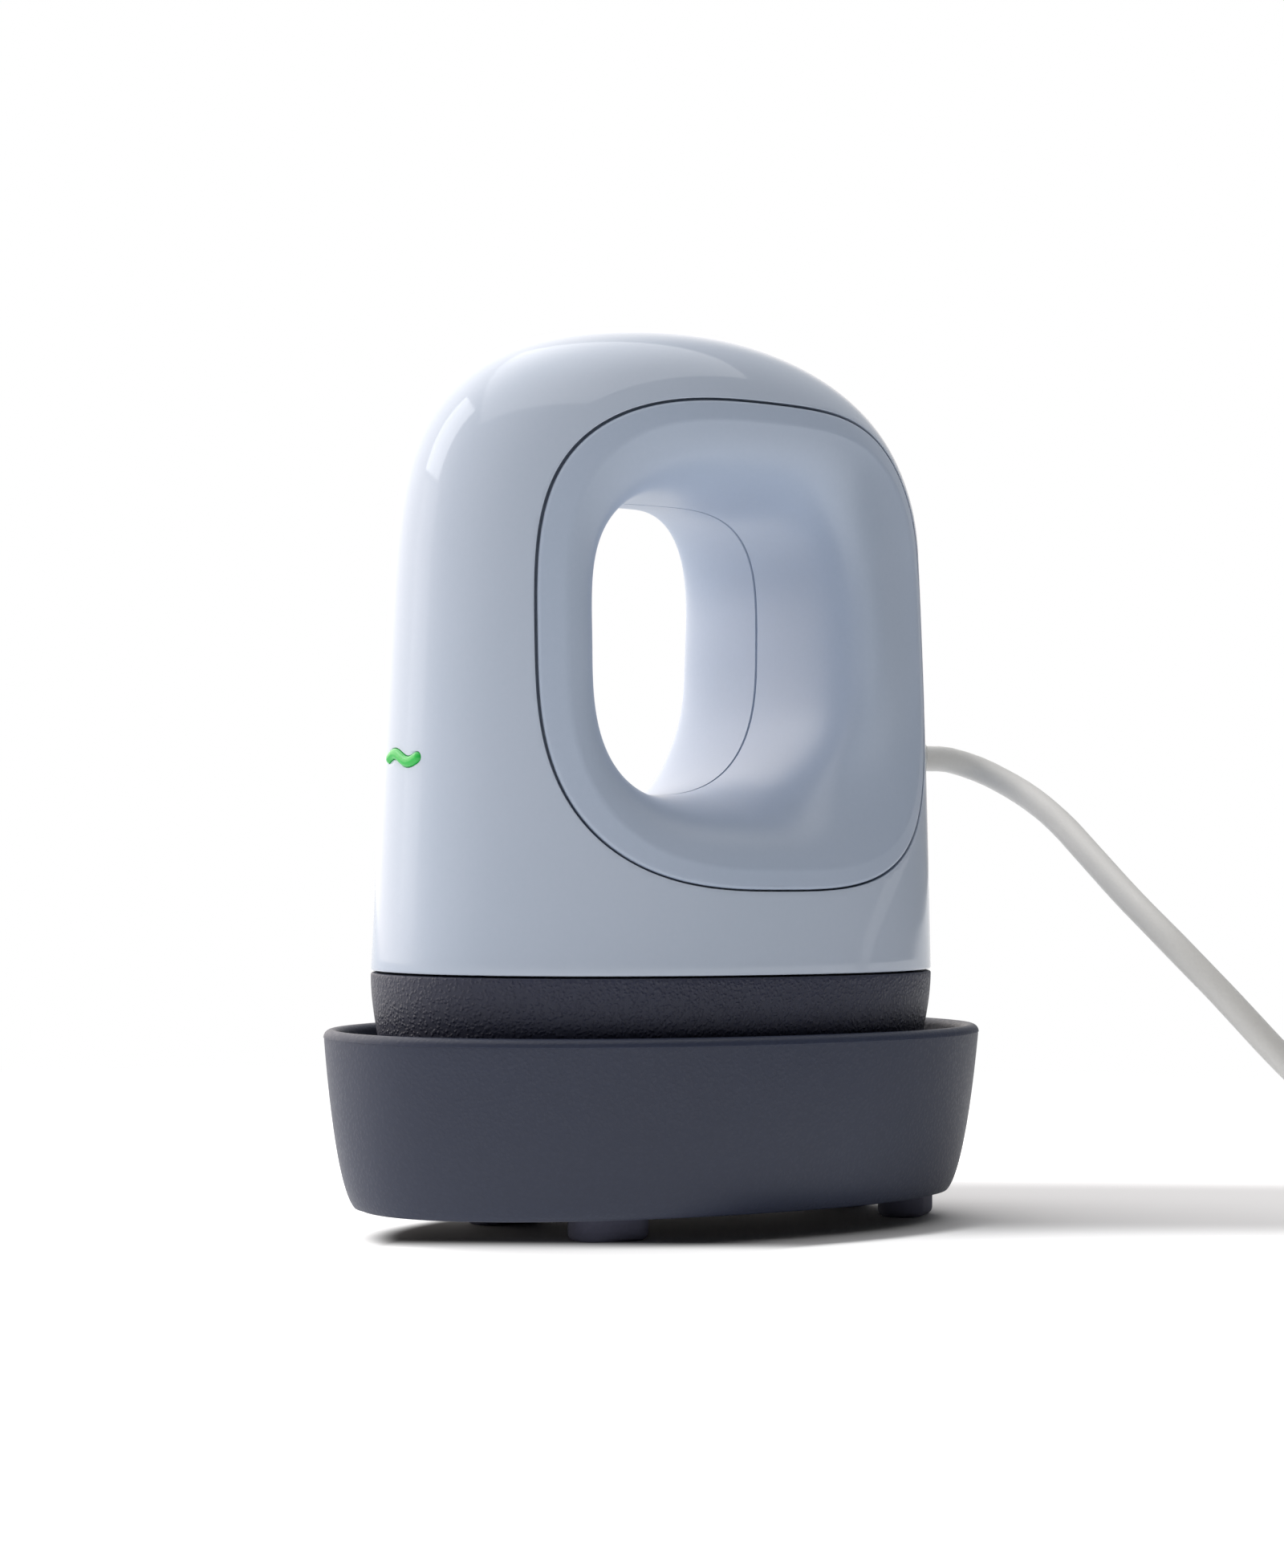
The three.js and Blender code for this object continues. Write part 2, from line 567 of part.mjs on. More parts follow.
const rodsAt = (places, radius, z0, z1) => places.map(([x, y]) => rod(radius, x, y, z0, z1, SCREW_SIDES));
function heatPlate() {
  const body = insetStack([
    [PLATE_INSET + 0.8, PLATE_BOTTOM],
    [PLATE_INSET, PLATE_BOTTOM + 0.8],
    [PLATE_INSET, PLATE_TOP - 0.4],
    [PLATE_INSET + 0.4, PLATE_TOP],
  ], { count: SEGMENTS });
  const top = PLATE_TOP + STUD_HEIGHT;
  return cut(
    join(body, ...rodsAt(STUD_PLACES, STUD_RADIUS, PLATE_TOP - 1, top)),
    ...rodsAt(STUD_PLACES, SCREW_RADIUS + 0.2, top - SCREW_BITE - 0.4, top + 1),
  );
}

function tube(points, radius, sides, steps) {
  const shape = new THREE.Shape(angles(sides).map((a) => new THREE.Vector2(
    radius * Math.cos(a + Math.PI / sides), radius * Math.sin(a + Math.PI / sides))));
  const curve = new THREE.CatmullRomCurve3(points, false, 'centripetal');
  return new THREE.ExtrudeGeometry(shape, { steps, bevelEnabled: false, extrudePath: curve });
}

function heatingElement() {
  const z = PLATE_TOP + SEAT_GAP + TUBE_RADIUS;
  const bend = angles(24).slice(0, 13).map((a) => point(
    ELEMENT_LEG_X * Math.cos(a), ELEMENT_BEND_Y - ELEMENT_LEG_X * Math.sin(a), z));
  const legs = [ELEMENT_END_Y, 14, 0];
  return tube([
    ...legs.map((y) => point(ELEMENT_LEG_X, y, z)),
    ...bend,
    ...legs.toReversed().map((y) => point(-ELEMENT_LEG_X, y, z)),
  ], TUBE_RADIUS, 8, 26);
}

function stackSheet(z0, thickness) {
  return cut(
    sheet(PLATE_INSET + STACK_MARGIN, z0, z0 + thickness),
    box(-13, 13, ELEMENT_END_Y + 1.6, ELEMENT_END_Y + 20, z0 - 1, z0 + thickness + 1),
    ...rodsAt(STUD_PLACES, STUD_RADIUS + FIT_GAP, z0 - 1, z0 + thickness + 1),
    rod(1.6, ...WIRE_HOLE, z0 - 1, z0 + thickness + 1, 12),
  );
}

function screw([x, y], underHead, headTop, tip) {
  const [head, shank] = [[underHead, headTop], [underHead, tip]].map((ends) => ends.sort((a, b) => a - b));
  return join(
    rod(SCREW_HEAD_RADIUS, x, y, ...head, SCREW_SIDES),
    rod(SCREW_RADIUS, x, y, ...shank, SCREW_SIDES),
  );
}

// Frame

const LIGHT_BOARD_Y = LENS_BACK_Y + LENS_FLANGE + SEAT_GAP + LED_DEPTH + SEAT_GAP; // its front face
const FRONT_POST_Y = LIGHT_BOARD_Y + BOARD_THICKNESS + SEAT_GAP;
const FRONT_POST_TOP = LIGHT_HEIGHT + 9;
const SWITCH_GAP = BUTTON_TRAVEL + 0.2; // between the button and its switch, at rest
const SWITCH_BOARD_Y = BUTTON_BACK_Y - BUTTON_FLANGE - SWITCH_GAP - SWITCH_DEPTH - SEAT_GAP; // its rear face
const RAIL_TOP = BUTTON_HEIGHT + SWITCH_BOARD_HALF_HEIGHT - 1;
const BOARD_BOTTOM = FRAME_TOP + BOARD_POST_HEIGHT + SEAT_GAP;
const BOARD_TOP = BOARD_BOTTOM + BOARD_THICKNESS;
const RAIL_EDGE = RAIL_X + RAIL_HALF_WIDTH;
const SADDLE_Y = INNER_CORD_Y + CORD_RADIUS + SEAT_GAP; // the rails' bridge behind the cord

function innerFrame() {
  const railRear = RAIL_Y + POST_THICKNESS;
  const crossbar = (z) => box(-RAIL_EDGE, RAIL_EDGE, RAIL_Y + 1, SWITCH_BOARD_Y - BOARD_THICKNESS - SEAT_GAP,
    z - CROSSBAR_THICKNESS / 2, z + CROSSBAR_THICKNESS / 2);
  const body = join(
    sheet(skirtInset(FRAME_BOTTOM) + SKIRT_WALL + FIT_GAP, FRAME_BOTTOM, FRAME_TOP),
    box(-FRONT_POST_HALF_WIDTH, FRONT_POST_HALF_WIDTH, FRONT_POST_Y, FRONT_POST_Y + POST_THICKNESS,
      FRAME_TOP - 1, FRONT_POST_TOP),
    ...[RAIL_X, -RAIL_X].map((x) => box(x - RAIL_HALF_WIDTH, x + RAIL_HALF_WIDTH, RAIL_Y, railRear,
      FRAME_TOP - 1, RAIL_TOP)),
    crossbar(BUTTON_HEIGHT - SWITCH_BOARD_HALF_HEIGHT + 2),
    crossbar(BUTTON_HEIGHT + SWITCH_BOARD_HALF_HEIGHT - 2),
    box(-RAIL_X, RAIL_X, SADDLE_Y, railRear, CLAMP_HEIGHT - CLAMP_HALF_HEIGHT, CLAMP_HEIGHT + CLAMP_HALF_HEIGHT),
    ...rodsAt(BOARD_POSTS, BOARD_POST_RADIUS, FRAME_TOP - 1, FRAME_TOP + BOARD_POST_HEIGHT),
    ...rodsAt(BOSS_PLACES, BOSS_RADIUS, FRAME_TOP - 1, BOSS_BOTTOM - FIT_GAP),
  );
  return cut(
    body,
    box(-3.5, 3.5, FRONT_POST_Y - 1, FRONT_POST_Y + POST_THICKNESS + 1, FRAME_TOP + 2, BOARD_TOP + 10),
    ...rodsAt([...STUD_PLACES, ...BOSS_PLACES], SCREW_RADIUS + 0.2, FRAME_BOTTOM - 1, BOSS_BOTTOM),
    ...[1, -1].map((side) => rod(2 * LEAD_RADIUS, side * HEATER_LEAD_X, HEATER_LEAD_Y,
      FRAME_BOTTOM - 1, FRAME_TOP + 1, 12)),
    rod(FINE_WIRE + 0.9, ...WIRE_HOLE, FRAME_BOTTOM - 1, FRAME_TOP + 1, 12),
    ...[1, -1].map((side) => rodAlongY(CLAMP_SCREW_RADIUS + 0.2, side * RAIL_X, CLAMP_HEIGHT,
      RAIL_Y - 1, railRear + 1, 10)),
  );
}

// Wires inside

const BOARD_EDGE_Z = BOARD_BOTTOM + BOARD_THICKNESS / 2;
const TERMINAL_BOTTOM = FRAME_TOP + SEAT_GAP;

function heaterLead(side) {
  const elementZ = PLATE_TOP + SEAT_GAP + TUBE_RADIUS;
  return tube([
    point(side * ELEMENT_LEG_X, ELEMENT_END_Y + FACE_GAP, elementZ),
    point(side * (ELEMENT_LEG_X + 0.6), ELEMENT_END_Y + 2.6, elementZ + 0.6),
    point(side * HEATER_LEAD_X, HEATER_LEAD_Y, elementZ + 6),
    point(side * HEATER_LEAD_X, HEATER_LEAD_Y, FRAME_BOTTOM - 4),
    point(side * HEATER_LEAD_X, HEATER_LEAD_Y, FRAME_TOP + 0.5),
    point(side * HEATER_LEAD_X, HEATER_LEAD_Y - 3, BOARD_EDGE_Z - 1),
    point(side * HEATER_LEAD_X, BOARD_REAR_Y + 5, BOARD_EDGE_Z),
    point(side * HEATER_LEAD_X, BOARD_REAR_Y + FACE_GAP, BOARD_EDGE_Z),
  ], LEAD_RADIUS, 6, 16);
}

// Both mains wires in one sleeve, from the terminals to the board's rear edge.
function supplyLead() {
  const front = TERMINAL.y - TERMINAL.length / 2;
  return tube([
    point(SUPPLY_LEAD_X, front - FACE_GAP, BOARD_EDGE_Z),
    point(SUPPLY_LEAD_X, BOARD_REAR_Y + FACE_GAP, BOARD_EDGE_Z),
  ], SUPPLY_LEAD_RADIUS, 8, 1);
}

function fuseLead() {
  const [x, y] = WIRE_HOLE;
  return tube([
    point(x, FUSE_Y + FUSE_LENGTH / 2 + FACE_GAP, PLATE_TOP + SEAT_GAP + FUSE_RADIUS),
    point(x, y - 0.6, PLATE_TOP + SEAT_GAP + FUSE_RADIUS + 0.9),
    point(x, y, STACK_BOTTOM),
    point(x, y, FRAME_BOTTOM),
    point(x, y, FRAME_TOP + 3),
    point(x, mix(BOARD_REAR_Y, y, 0.7), BOARD_EDGE_Z - 0.2),
    point(x, BOARD_REAR_Y + FACE_GAP, BOARD_EDGE_Z),
  ], FINE_WIRE, 6, 14);
}

function lightLead() {
  const boardY = LIGHT_BOARD_Y + 0.4;
  return tube([
    point(0, boardY, LIGHT_HEIGHT - 6 - FACE_GAP),
    point(0, boardY, LIGHT_HEIGHT - 9),
    point(0, boardY, BOARD_TOP + 8),
    point(0, boardY + 2, BOARD_EDGE_Z + 1.5),
    point(0, BOARD_FRONT_Y - 4, BOARD_EDGE_Z),
    point(0, BOARD_FRONT_Y - FACE_GAP, BOARD_EDGE_Z),
  ], FINE_WIRE, 6, 14);
}

function switchLead() {
  const boardY = SWITCH_BOARD_Y - BOARD_THICKNESS / 2;
  const start = point(1 - SWITCH_BOARD_HALF_WIDTH, boardY, BUTTON_HEIGHT - SWITCH_BOARD_HALF_HEIGHT - FACE_GAP);
  const across = (share) => mix(start.x, -SWITCH_LEAD_X, share);
  return tube([
    start,
    start.clone().sub(point(0, 0, 3)),
    point(across(0.7), boardY - 3, CORD_HEIGHT + 8),
    point(across(0.9), HEATER_LEAD_Y, CORD_HEIGHT - 8),
    point(across(1), RAIL_Y + POST_THICKNESS + 2, BOARD_TOP + 8),
    point(across(1), BOARD_REAR_Y + 6, BOARD_EDGE_Z + 1),
    point(across(1), BOARD_REAR_Y + FACE_GAP, BOARD_EDGE_Z),
  ], FINE_WIRE, 6, 18);
}

// The mains cord inside the press, from the boot's mouth down to the terminals.
function innerCord() {
  const tailEnd = BUSHING_BACK_Y - BUSHING_INNER_REACH;
  const bend = tailEnd - INNER_CORD_Y;
  const turn = [0, 1, 2, 3, 4, 5].map((k) => k * Math.PI / 10);
  return tube([
    point(0, CORD_EXIT_Y - FACE_GAP, CORD_HEIGHT),
    point(0, mix(CORD_EXIT_Y, tailEnd, 0.5), CORD_HEIGHT),
    ...turn.map((a) => point(0, tailEnd - bend * Math.sin(a), CORD_HEIGHT - bend * (1 - Math.cos(a)))),
    point(0, INNER_CORD_Y, CLAMP_HEIGHT),
    point(0, INNER_CORD_Y, TERMINAL_BOTTOM + TERMINAL.height + FACE_GAP),
  ], CORD_RADIUS, 8, 18);
}

// Cord outlet

const CORD_EXIT_Y = rearFace(CORD_HEIGHT) + BOOT_REACH + FACE_GAP;

function cordBushing() {
  const back = BUSHING_BACK_Y;
  const face = rearFace(CORD_HEIGHT);
  const profile = [
    [CORD_RADIUS + 0.2, back - BUSHING_INNER_REACH],
    [3.2, back - BUSHING_INNER_REACH],
    [3.6, back - BUSHING_FLANGE],
    [BUSHING_FLANGE_RADIUS, back - BUSHING_FLANGE],
    [BUSHING_FLANGE_RADIUS, back - 0.1],
    [BUSHING_RADIUS, back - 0.1],
    [BUSHING_RADIUS, face + 0.6],
    [3.7, face + 1.2],
    [3, face + BOOT_REACH],
    [CORD_RADIUS + 0.2, face + BOOT_REACH],
    [CORD_RADIUS + 0.2, back - BUSHING_INNER_REACH],
  ].map(([r, y]) => new THREE.Vector2(r, y));
  return new THREE.LatheGeometry(profile, 16).translate(0, 0, CORD_HEIGHT);
}

function cordClamp() {
  const back = INNER_CORD_Y - CORD_RADIUS - SEAT_GAP;
  const [low, high] = [CLAMP_HEIGHT - CLAMP_HALF_HEIGHT, CLAMP_HEIGHT + CLAMP_HALF_HEIGHT];
  const feet = [1, -1].map((side) => {
    const [x0, x1] = [side * (RAIL_X - RAIL_HALF_WIDTH), side * RAIL_EDGE].sort((a, b) => a - b);
    return box(x0, x1, back - 1, RAIL_Y - SEAT_GAP, low, high);
  });
  return cut(
    join(box(-RAIL_EDGE, RAIL_EDGE, back - CLAMP_BAR, back, low, high), ...feet),
    ...[1, -1].map((side) => rodAlongY(CLAMP_SCREW_RADIUS + 0.4, side * RAIL_X, CLAMP_HEIGHT,
      back - CLAMP_BAR - 1, RAIL_Y, 10)),
  );
}

function clampScrew(side) {
  const underHead = INNER_CORD_Y - CORD_RADIUS - SEAT_GAP - CLAMP_BAR - SEAT_GAP;
  return join(
    rodAlongY(2 * CLAMP_SCREW_RADIUS, side * RAIL_X, CLAMP_HEIGHT, underHead - 1.4, underHead, 12),
    rodAlongY(CLAMP_SCREW_RADIUS, side * RAIL_X, CLAMP_HEIGHT, underHead - 0.5, RAIL_Y + POST_THICKNESS - 0.5, 10),
  );
}

// Light and button

function lightLens() {
  const wave = wavePrism(LIGHT_STROKE, frontFace(LIGHT_HEIGHT) - LIGHT_PROUD, LENS_BACK_Y + 0.2);
  const reach = LIGHT_HALF_LENGTH + LENS_FLANGE_MARGIN;
  const flange = box(LIGHT_X - reach, LIGHT_X + reach, LENS_BACK_Y, LENS_BACK_Y + LENS_FLANGE,
    LIGHT_HEIGHT - LENS_FLANGE_HALF_HEIGHT, LIGHT_HEIGHT + LENS_FLANGE_HALF_HEIGHT);
  return join(wave, flange);
}

function powerButton() {
  return join(
    rodAlongY(BUTTON_RADIUS, 0, BUTTON_HEIGHT, BUTTON_BACK_Y - 0.5, rearFace(BUTTON_HEIGHT) + BUTTON_PROUD, 28),
    rodAlongY(BUTTON_RADIUS + BUTTON_FLANGE_REACH, 0, BUTTON_HEIGHT, BUTTON_BACK_Y - BUTTON_FLANGE,
      BUTTON_BACK_Y, 28),
  );
}

// Tray

function trayOutline(depthShare, inward) {
  const [d1, q1, d2, q2] = TRAY_BELLY;
  const curve = new THREE.CubicBezierCurve(new THREE.Vector2(0, 0), new THREE.Vector2(d1, q1),
    new THREE.Vector2(d2, q2), new THREE.Vector2(1, 1));
  const { x: depth, y: share } = curve.getPoint(depthShare);
  return {
    z: TRAY_TOP - TRAY_HEIGHT * depth,
    plan: {
      half: TRAY_HALF_WIDTH - TRAY_SIDE_INSET * share - inward,
      front: PLAN_FRONT + TRAY_FRONT_GROWTH - TRAY_FRONT_INSET * share - inward,
      rear: PLAN_REAR + TRAY_REAR_GROWTH - TRAY_REAR_INSET * share - inward,
      middle: PLAN_WIDEST_Y,
      powers: [FRONT_POWER, REAR_POWER],
    },
  };
}

const TRAY_INNER_FLOOR = TRAY_BOTTOM + TRAY_FLOOR;

function baseTray() {
  const ring = (share, inward, lift = 0) => {
    const { z, plan } = trayOutline(share, inward);
    return outline(plan, z + lift, SEGMENTS);
  };
  const floorRing = (inward, z) => outline(trayOutline(1, inward).plan, z, SEGMENTS);
  const inner = [0.12, 0.4, 0.66].map((share) => ring(share, TRAY_WALL));
  return skin([
    ...[1, 0.87, 0.7, 0.48, 0.24, 0.03].map((share) => ring(share, 0)),
    ring(0, TRAY_WALL * 0.25),
    ring(0, TRAY_WALL * 0.75),
    ...inner,
    floorRing(TRAY_WALL, TRAY_INNER_FLOOR + 1.2),
    floorRing(TRAY_WALL + 1.2, TRAY_INNER_FLOOR),
  ]);
}

function trayLiner() {
  const { plan } = trayOutline(1, TRAY_WALL + LINER_MARGIN);
  const inner = { ...plan, half: plan.half - 1, front: plan.front - 1, rear: plan.rear - 1 };
  const top = LINER_BOTTOM + LINER_THICKNESS;
  return skin([
    outline(plan, LINER_BOTTOM, FINE),
    outline(plan, top - 1, FINE),
    outline(inner, top, FINE),
  ]);
}

// A foot stands in from the tray's bottom edge and lies along it.
function foot(side, [x, y, turn]) {
  const shape = (inset) => {
    const [a, b, r] = [FOOT_WIDTH / 2 - inset, FOOT_LENGTH / 2 - inset, FOOT_CORNER - inset];
    return [[1, 1], [-1, 1], [-1, -1], [1, -1]].flatMap(([sx, sy], corner) => [0, 1, 2].map((k) => {
      const angle = (corner + k / 2) * Math.PI / 2;
      return [sx * (a - r) + r * Math.cos(angle), sy * (b - r) + r * Math.sin(angle)];
    }));
  };
  const ring = (inset, z) => shape(inset).map(([across, along]) => point(across, along, z));
  const geometry = skin([ring(FOOT_CHAMFER, 0), ring(0, FOOT_CHAMFER), ring(0, FOOT_HEIGHT)]);
  return geometry.rotateZ(-side * turn).translate(side * x, y, 0);
}

// Power cord: it leaves the boot, sinks to the floor and winds into a coil

const COIL_FLOOR_Z = COIL_LIFT + CORD_RADIUS; // centreline of the lowest layer
const COIL_START = point(COIL_CENTRE[0], COIL_CENTRE[1] + COIL_OUTER, COIL_FLOOR_Z);
const CORD_ROUTE = [
  [0, 0, 0], [0, 6, -0.1], [2.2, 10.6, -1.6], [9.8, 13.4, -5.4], [19.5, 12.3, -9.9], [30.5, 9.4, -15.6],
  [42, 6.8, -22.1], [51.5, 6.3, -28.3], [59.5, 9.8, -36.5], [68.3, 17.4, -48.6], [76.3, 25.7, -58.2],
  [84.6, 33.4, -65], [93.8, 38.4, -68.6], [103.8, 41.2, -70.1],
].map(([x, y, z]) => point(x, CORD_EXIT_Y + y, CORD_HEIGHT + z));

function cordRun() {
  const end = COIL_START.clone().sub(point(2 * CORD_RADIUS + FACE_GAP, 0, 0));
  return tube([...CORD_ROUTE, end.clone().sub(point(4, 0, 0)), end], CORD_RADIUS, 8, 24);
}

const smooth = (t) => THREE.MathUtils.smoothstep(t, 0, 1);
const LAYERS = 4;
const LAYER_ENDS = Array.from({ length: LAYERS - 1 }, (_, k) => (k + 1) * COIL_TURNS_PER_LAYER);
const COIL_TURNS = LAYER_ENDS.at(-1) + COIL_LAST_TURNS;
const COIL_INNER = COIL_OUTER - COIL_TURNS_PER_LAYER * COIL_PITCH;
const LEAD_BEND_RADIUS = COIL_INNER;
const PLUG_REST_Z = COIL_FLOOR_Z + (LAYERS - 1) * COIL_LAYER + CORD_RADIUS + FACE_GAP + PLUG_THICKNESS / 2;

// The turns spiral in and out again, and climb a layer in the half turn where they reverse.
function coilPoint(turn) {
  const inLayer = turn % (2 * COIL_TURNS_PER_LAYER);
  const radius = COIL_OUTER - COIL_PITCH * Math.min(inLayer, 2 * COIL_TURNS_PER_LAYER - inLayer);
  const climbed = LAYER_ENDS.reduce((sum, at) => sum + smooth((turn - at + 0.25) * 2), 0);
  const angle = turn * Math.PI * 2;
  return point(
    COIL_CENTRE[0] + radius * Math.sin(angle),
    COIL_CENTRE[1] + radius * Math.cos(angle),
    COIL_FLOOR_Z + climbed * COIL_LAYER,
  );
}

function coilLine() {
  const line = [];
  const stepTurn = 1 / COIL_STEPS;
  for (let turn = 0; turn < COIL_TURNS + stepTurn / 2; turn += stepTurn) line.push(coilPoint(turn));
  // the cord rises off the last turn and bends in to the plug
  const angle = COIL_TURNS * Math.PI * 2;
  const outer = COIL_INNER + COIL_LAST_TURNS * COIL_PITCH;
  const hub = outer - LEAD_BEND_RADIUS;
  const bendSteps = 8;
  for (let k = 1; k <= bendSteps; k++) {
    const at = angle + LEAD_ARC * k / bendSteps;
    line.push(point(
      COIL_CENTRE[0] + hub * Math.sin(angle) + LEAD_BEND_RADIUS * Math.sin(at),
      COIL_CENTRE[1] + hub * Math.cos(angle) + LEAD_BEND_RADIUS * Math.cos(at),
      line[0].z,
    ));
  }
  const top = COIL_FLOOR_Z + (LAYERS - 1) * COIL_LAYER;
  const rising = bendSteps + 6;
  line.slice(-rising).forEach((p, k) => {
    p.z = mix(top, PLUG_REST_Z, smooth((k + 1) / (rising - 1)));
  });
  const along = line.at(-1).clone().sub(line.at(-2)).setZ(0).normalize();
  line.unshift(COIL_START.clone().sub(point(2 * CORD_RADIUS, 0, 0)));
  line.push(line.at(-1).clone().addScaledVector(along, 2 * CORD_RADIUS));
  return { line, along };
}

const { line: COIL_LINE, along: PLUG_ALONG } = coilLine();

// Rings of points along a line, each in the plane that halves the bend there.
function sweep(line, radius, sides) {
  const rings = line.map((p, i) => {
    const along = line[Math.min(i + 1, line.length - 1)].clone().sub(line[Math.max(i - 1, 0)]).normalize();
    const side = along.clone().cross(point(0, 0, 1)).normalize();
    const up = side.clone().cross(along);
    return angles(sides).map((a) => p.clone()
      .addScaledVector(side, radius * Math.cos(a))
      .addScaledVector(up, radius * Math.sin(a)));
  });
  return skin(rings.map((ring) => ring.toReversed()));
}

function leastGap(line, diameter) {
  let least = Infinity;
  line.forEach((p, i) => line.slice(i + COIL_STEPS / 2).forEach((q) => {
    least = Math.min(least, p.distanceTo(q));
  }));
  return least - diameter;
}

const lengthOf = (line) => line.slice(1).reduce((sum, p, i) => sum + p.distanceTo(line[i]), 0);

// A closed strap round every turn of the coil, sized by the turns that pass through it.
function cordTie() {
  const outward = new THREE.Vector2(Math.sin(STRAP_ANGLE), Math.cos(STRAP_ANGLE));
  const held = COIL_LINE.map((p) => new THREE.Vector2(p.x - COIL_CENTRE[0], p.y - COIL_CENTRE[1]))
    .filter((p) => Math.abs(p.cross(outward)) < STRAP_WIDTH / 2 + 3 && p.dot(outward) > 0)
    .map((p) => p.dot(outward));
  const low = Math.min(...held) - CORD_RADIUS - 2 * FIT_GAP;
  const high = Math.max(...held) + CORD_RADIUS + 2 * FIT_GAP;
  const top = COIL_FLOOR_Z + (LAYERS - 1) * COIL_LAYER + CORD_RADIUS + FIT_GAP;
  const rounded = (inset, y) => {
    const [r0, r1, z0, z1] = [low - inset, high + inset, COIL_LIFT - FIT_GAP - inset, top + inset];
    const radius = 1.5 + inset;
    return [[r1, z1, 1, 1], [r0, z1, -1, 1], [r0, z0, -1, -1], [r1, z0, 1, -1]].flatMap(([r, z, sr, sz], corner) => (
      [0, 1, 2].map((k) => {
        const a = (corner + k / 2) * Math.PI / 2;
        return point(r - sr * radius + radius * Math.cos(a), y, z - sz * radius + radius * Math.sin(a));
      })));
  };
  const half = STRAP_WIDTH / 2;
  const geometry = skin([
    rounded(STRAP_THICKNESS, half),
    rounded(STRAP_THICKNESS, -half),
    rounded(0, -half),
    rounded(0, half),
  ], true);
  return geometry.rotateZ(Math.PI / 2 - STRAP_ANGLE).translate(COIL_CENTRE[0], COIL_CENTRE[1], 0);
}

// The plug lies on the coil, in line with the cord's end.
function plugAt(geometry) {
  const end = COIL_LINE.at(-1);
  return geometry.rotateZ(Math.atan2(PLUG_ALONG.y, PLUG_ALONG.x)).translate(end.x, end.y, end.z);
}

function plugBody() {
  const section = (x, halfWidth, halfHeight) => [[1, 1], [-1, 1], [-1, -1], [1, -1]].flatMap(([sy, sz], corner) => (
    [0, 1, 2].map((k) => {
      const r = Math.min(halfHeight * 0.6, 2.5);
      const a = (corner + k / 2) * Math.PI / 2;
      return point(x, sy * (halfWidth - r) + r * Math.cos(a), sz * (halfHeight - r) + r * Math.sin(a));
    })));
  const [w, t] = [PLUG_WIDTH / 2, PLUG_THICKNESS / 2];
  const start = FACE_GAP;
  return plugAt(skin([
    section(start, 2.9, 2.9),
    section(start + PLUG_BOOT, 3.8, 3.6),
    section(start + PLUG_BOOT + 3, w * 0.72, t * 0.86),
    section(start + PLUG_BOOT + 9, w, t),
    section(start + PLUG_BOOT + PLUG_LENGTH - 1, w, t),
    section(start + PLUG_BOOT + PLUG_LENGTH, w - 1, t - 1),
  ]));
}

function plugPin(side) {
  const start = FACE_GAP + PLUG_BOOT + PLUG_LENGTH + FACE_GAP;
  const y = side * PIN_SPACING / 2;
  return plugAt(skin([
    [start, PIN_WIDTH / 2],
    [start + PIN_LENGTH - 1.5, PIN_WIDTH / 2],
    [start + PIN_LENGTH, PIN_WIDTH / 2 - 1],
  ].map(([x, half]) => [[1, 1], [-1, 1], [-1, -1], [1, -1]].map(([sy, sz]) => (
    point(x, y + sy * PIN_THICKNESS / 2, sz * half))))));
}

// Materials

const FINISHES = {
  shell: ['#b9c6d3', 0.18, 0],
  insert: ['#bcc9dc', 0.5, 0],
  charcoal: ['#3c3f49', 0.7, 0],
  slate: ['#4a4e59', 0.65, 0],
  felt: ['#2e2f33', 0.95, 0],
  rubber: ['#33343c', 0.8, 0],
  plate: ['#55575c', 0.45, 0.3],
  steel: ['#a9adb3', 0.4, 0.9],
  brass: ['#c2a262', 0.35, 0.9],
  silicone: ['#b4532d', 0.7, 0],
  wool: ['#d8d2c2', 0.95, 0],
  ceramic: ['#e8e4da', 0.6, 0],
  frame: ['#d9d9d4', 0.6, 0],
  board: ['#1f5a3a', 0.5, 0],
  black: ['#202124', 0.5, 0],
  amber: ['#c9962f', 0.5, 0],
  light: ['#4fd06a', 0.2, 0],
  diode: ['#f2f2ea', 0.3, 0],
  cord: ['#d6d6d3', 0.55, 0],
};

const part = new THREE.Group();

function add(name, finish, geometry) {
  const [color, roughness, metalness] = FINISHES[finish];
  const material = new THREE.MeshStandardMaterial({ color, roughness, metalness });
  geometry.computeVertexNormals();
  const mesh = new THREE.Mesh(geometry, material);
  mesh.name = name;
  part.add(mesh);
}

// Tray and what stays with it
add('base_tray', 'slate', baseTray());
add('tray_liner', 'felt', trayLiner());
add('foot_front_right', 'rubber', foot(1, FOOT_FRONT));
add('foot_front_left', 'rubber', foot(-1, FOOT_FRONT));
add('foot_rear_right', 'rubber', foot(1, FOOT_REAR));
add('foot_rear_left', 'rubber', foot(-1, FOOT_REAR));

// Housing
add('outer_shell', 'shell', outerShell());
add('handle_insert_right', 'insert', handleInsert(1));
add('handle_insert_left', 'insert', handleInsert(-1));
add('skirt', 'charcoal', skirt());
add('inner_frame', 'frame', innerFrame());
const CORNERS = ['front_right', 'front_left', 'rear_right', 'rear_left'];
CORNERS.forEach((corner, i) => add(`housing_screw_${corner}`, 'steel', screw(BOSS_PLACES[i],
  FRAME_BOTTOM - SEAT_GAP, FRAME_BOTTOM - SEAT_GAP - SCREW_HEAD_HEIGHT, BOSS_BOTTOM + SCREW_BITE)));

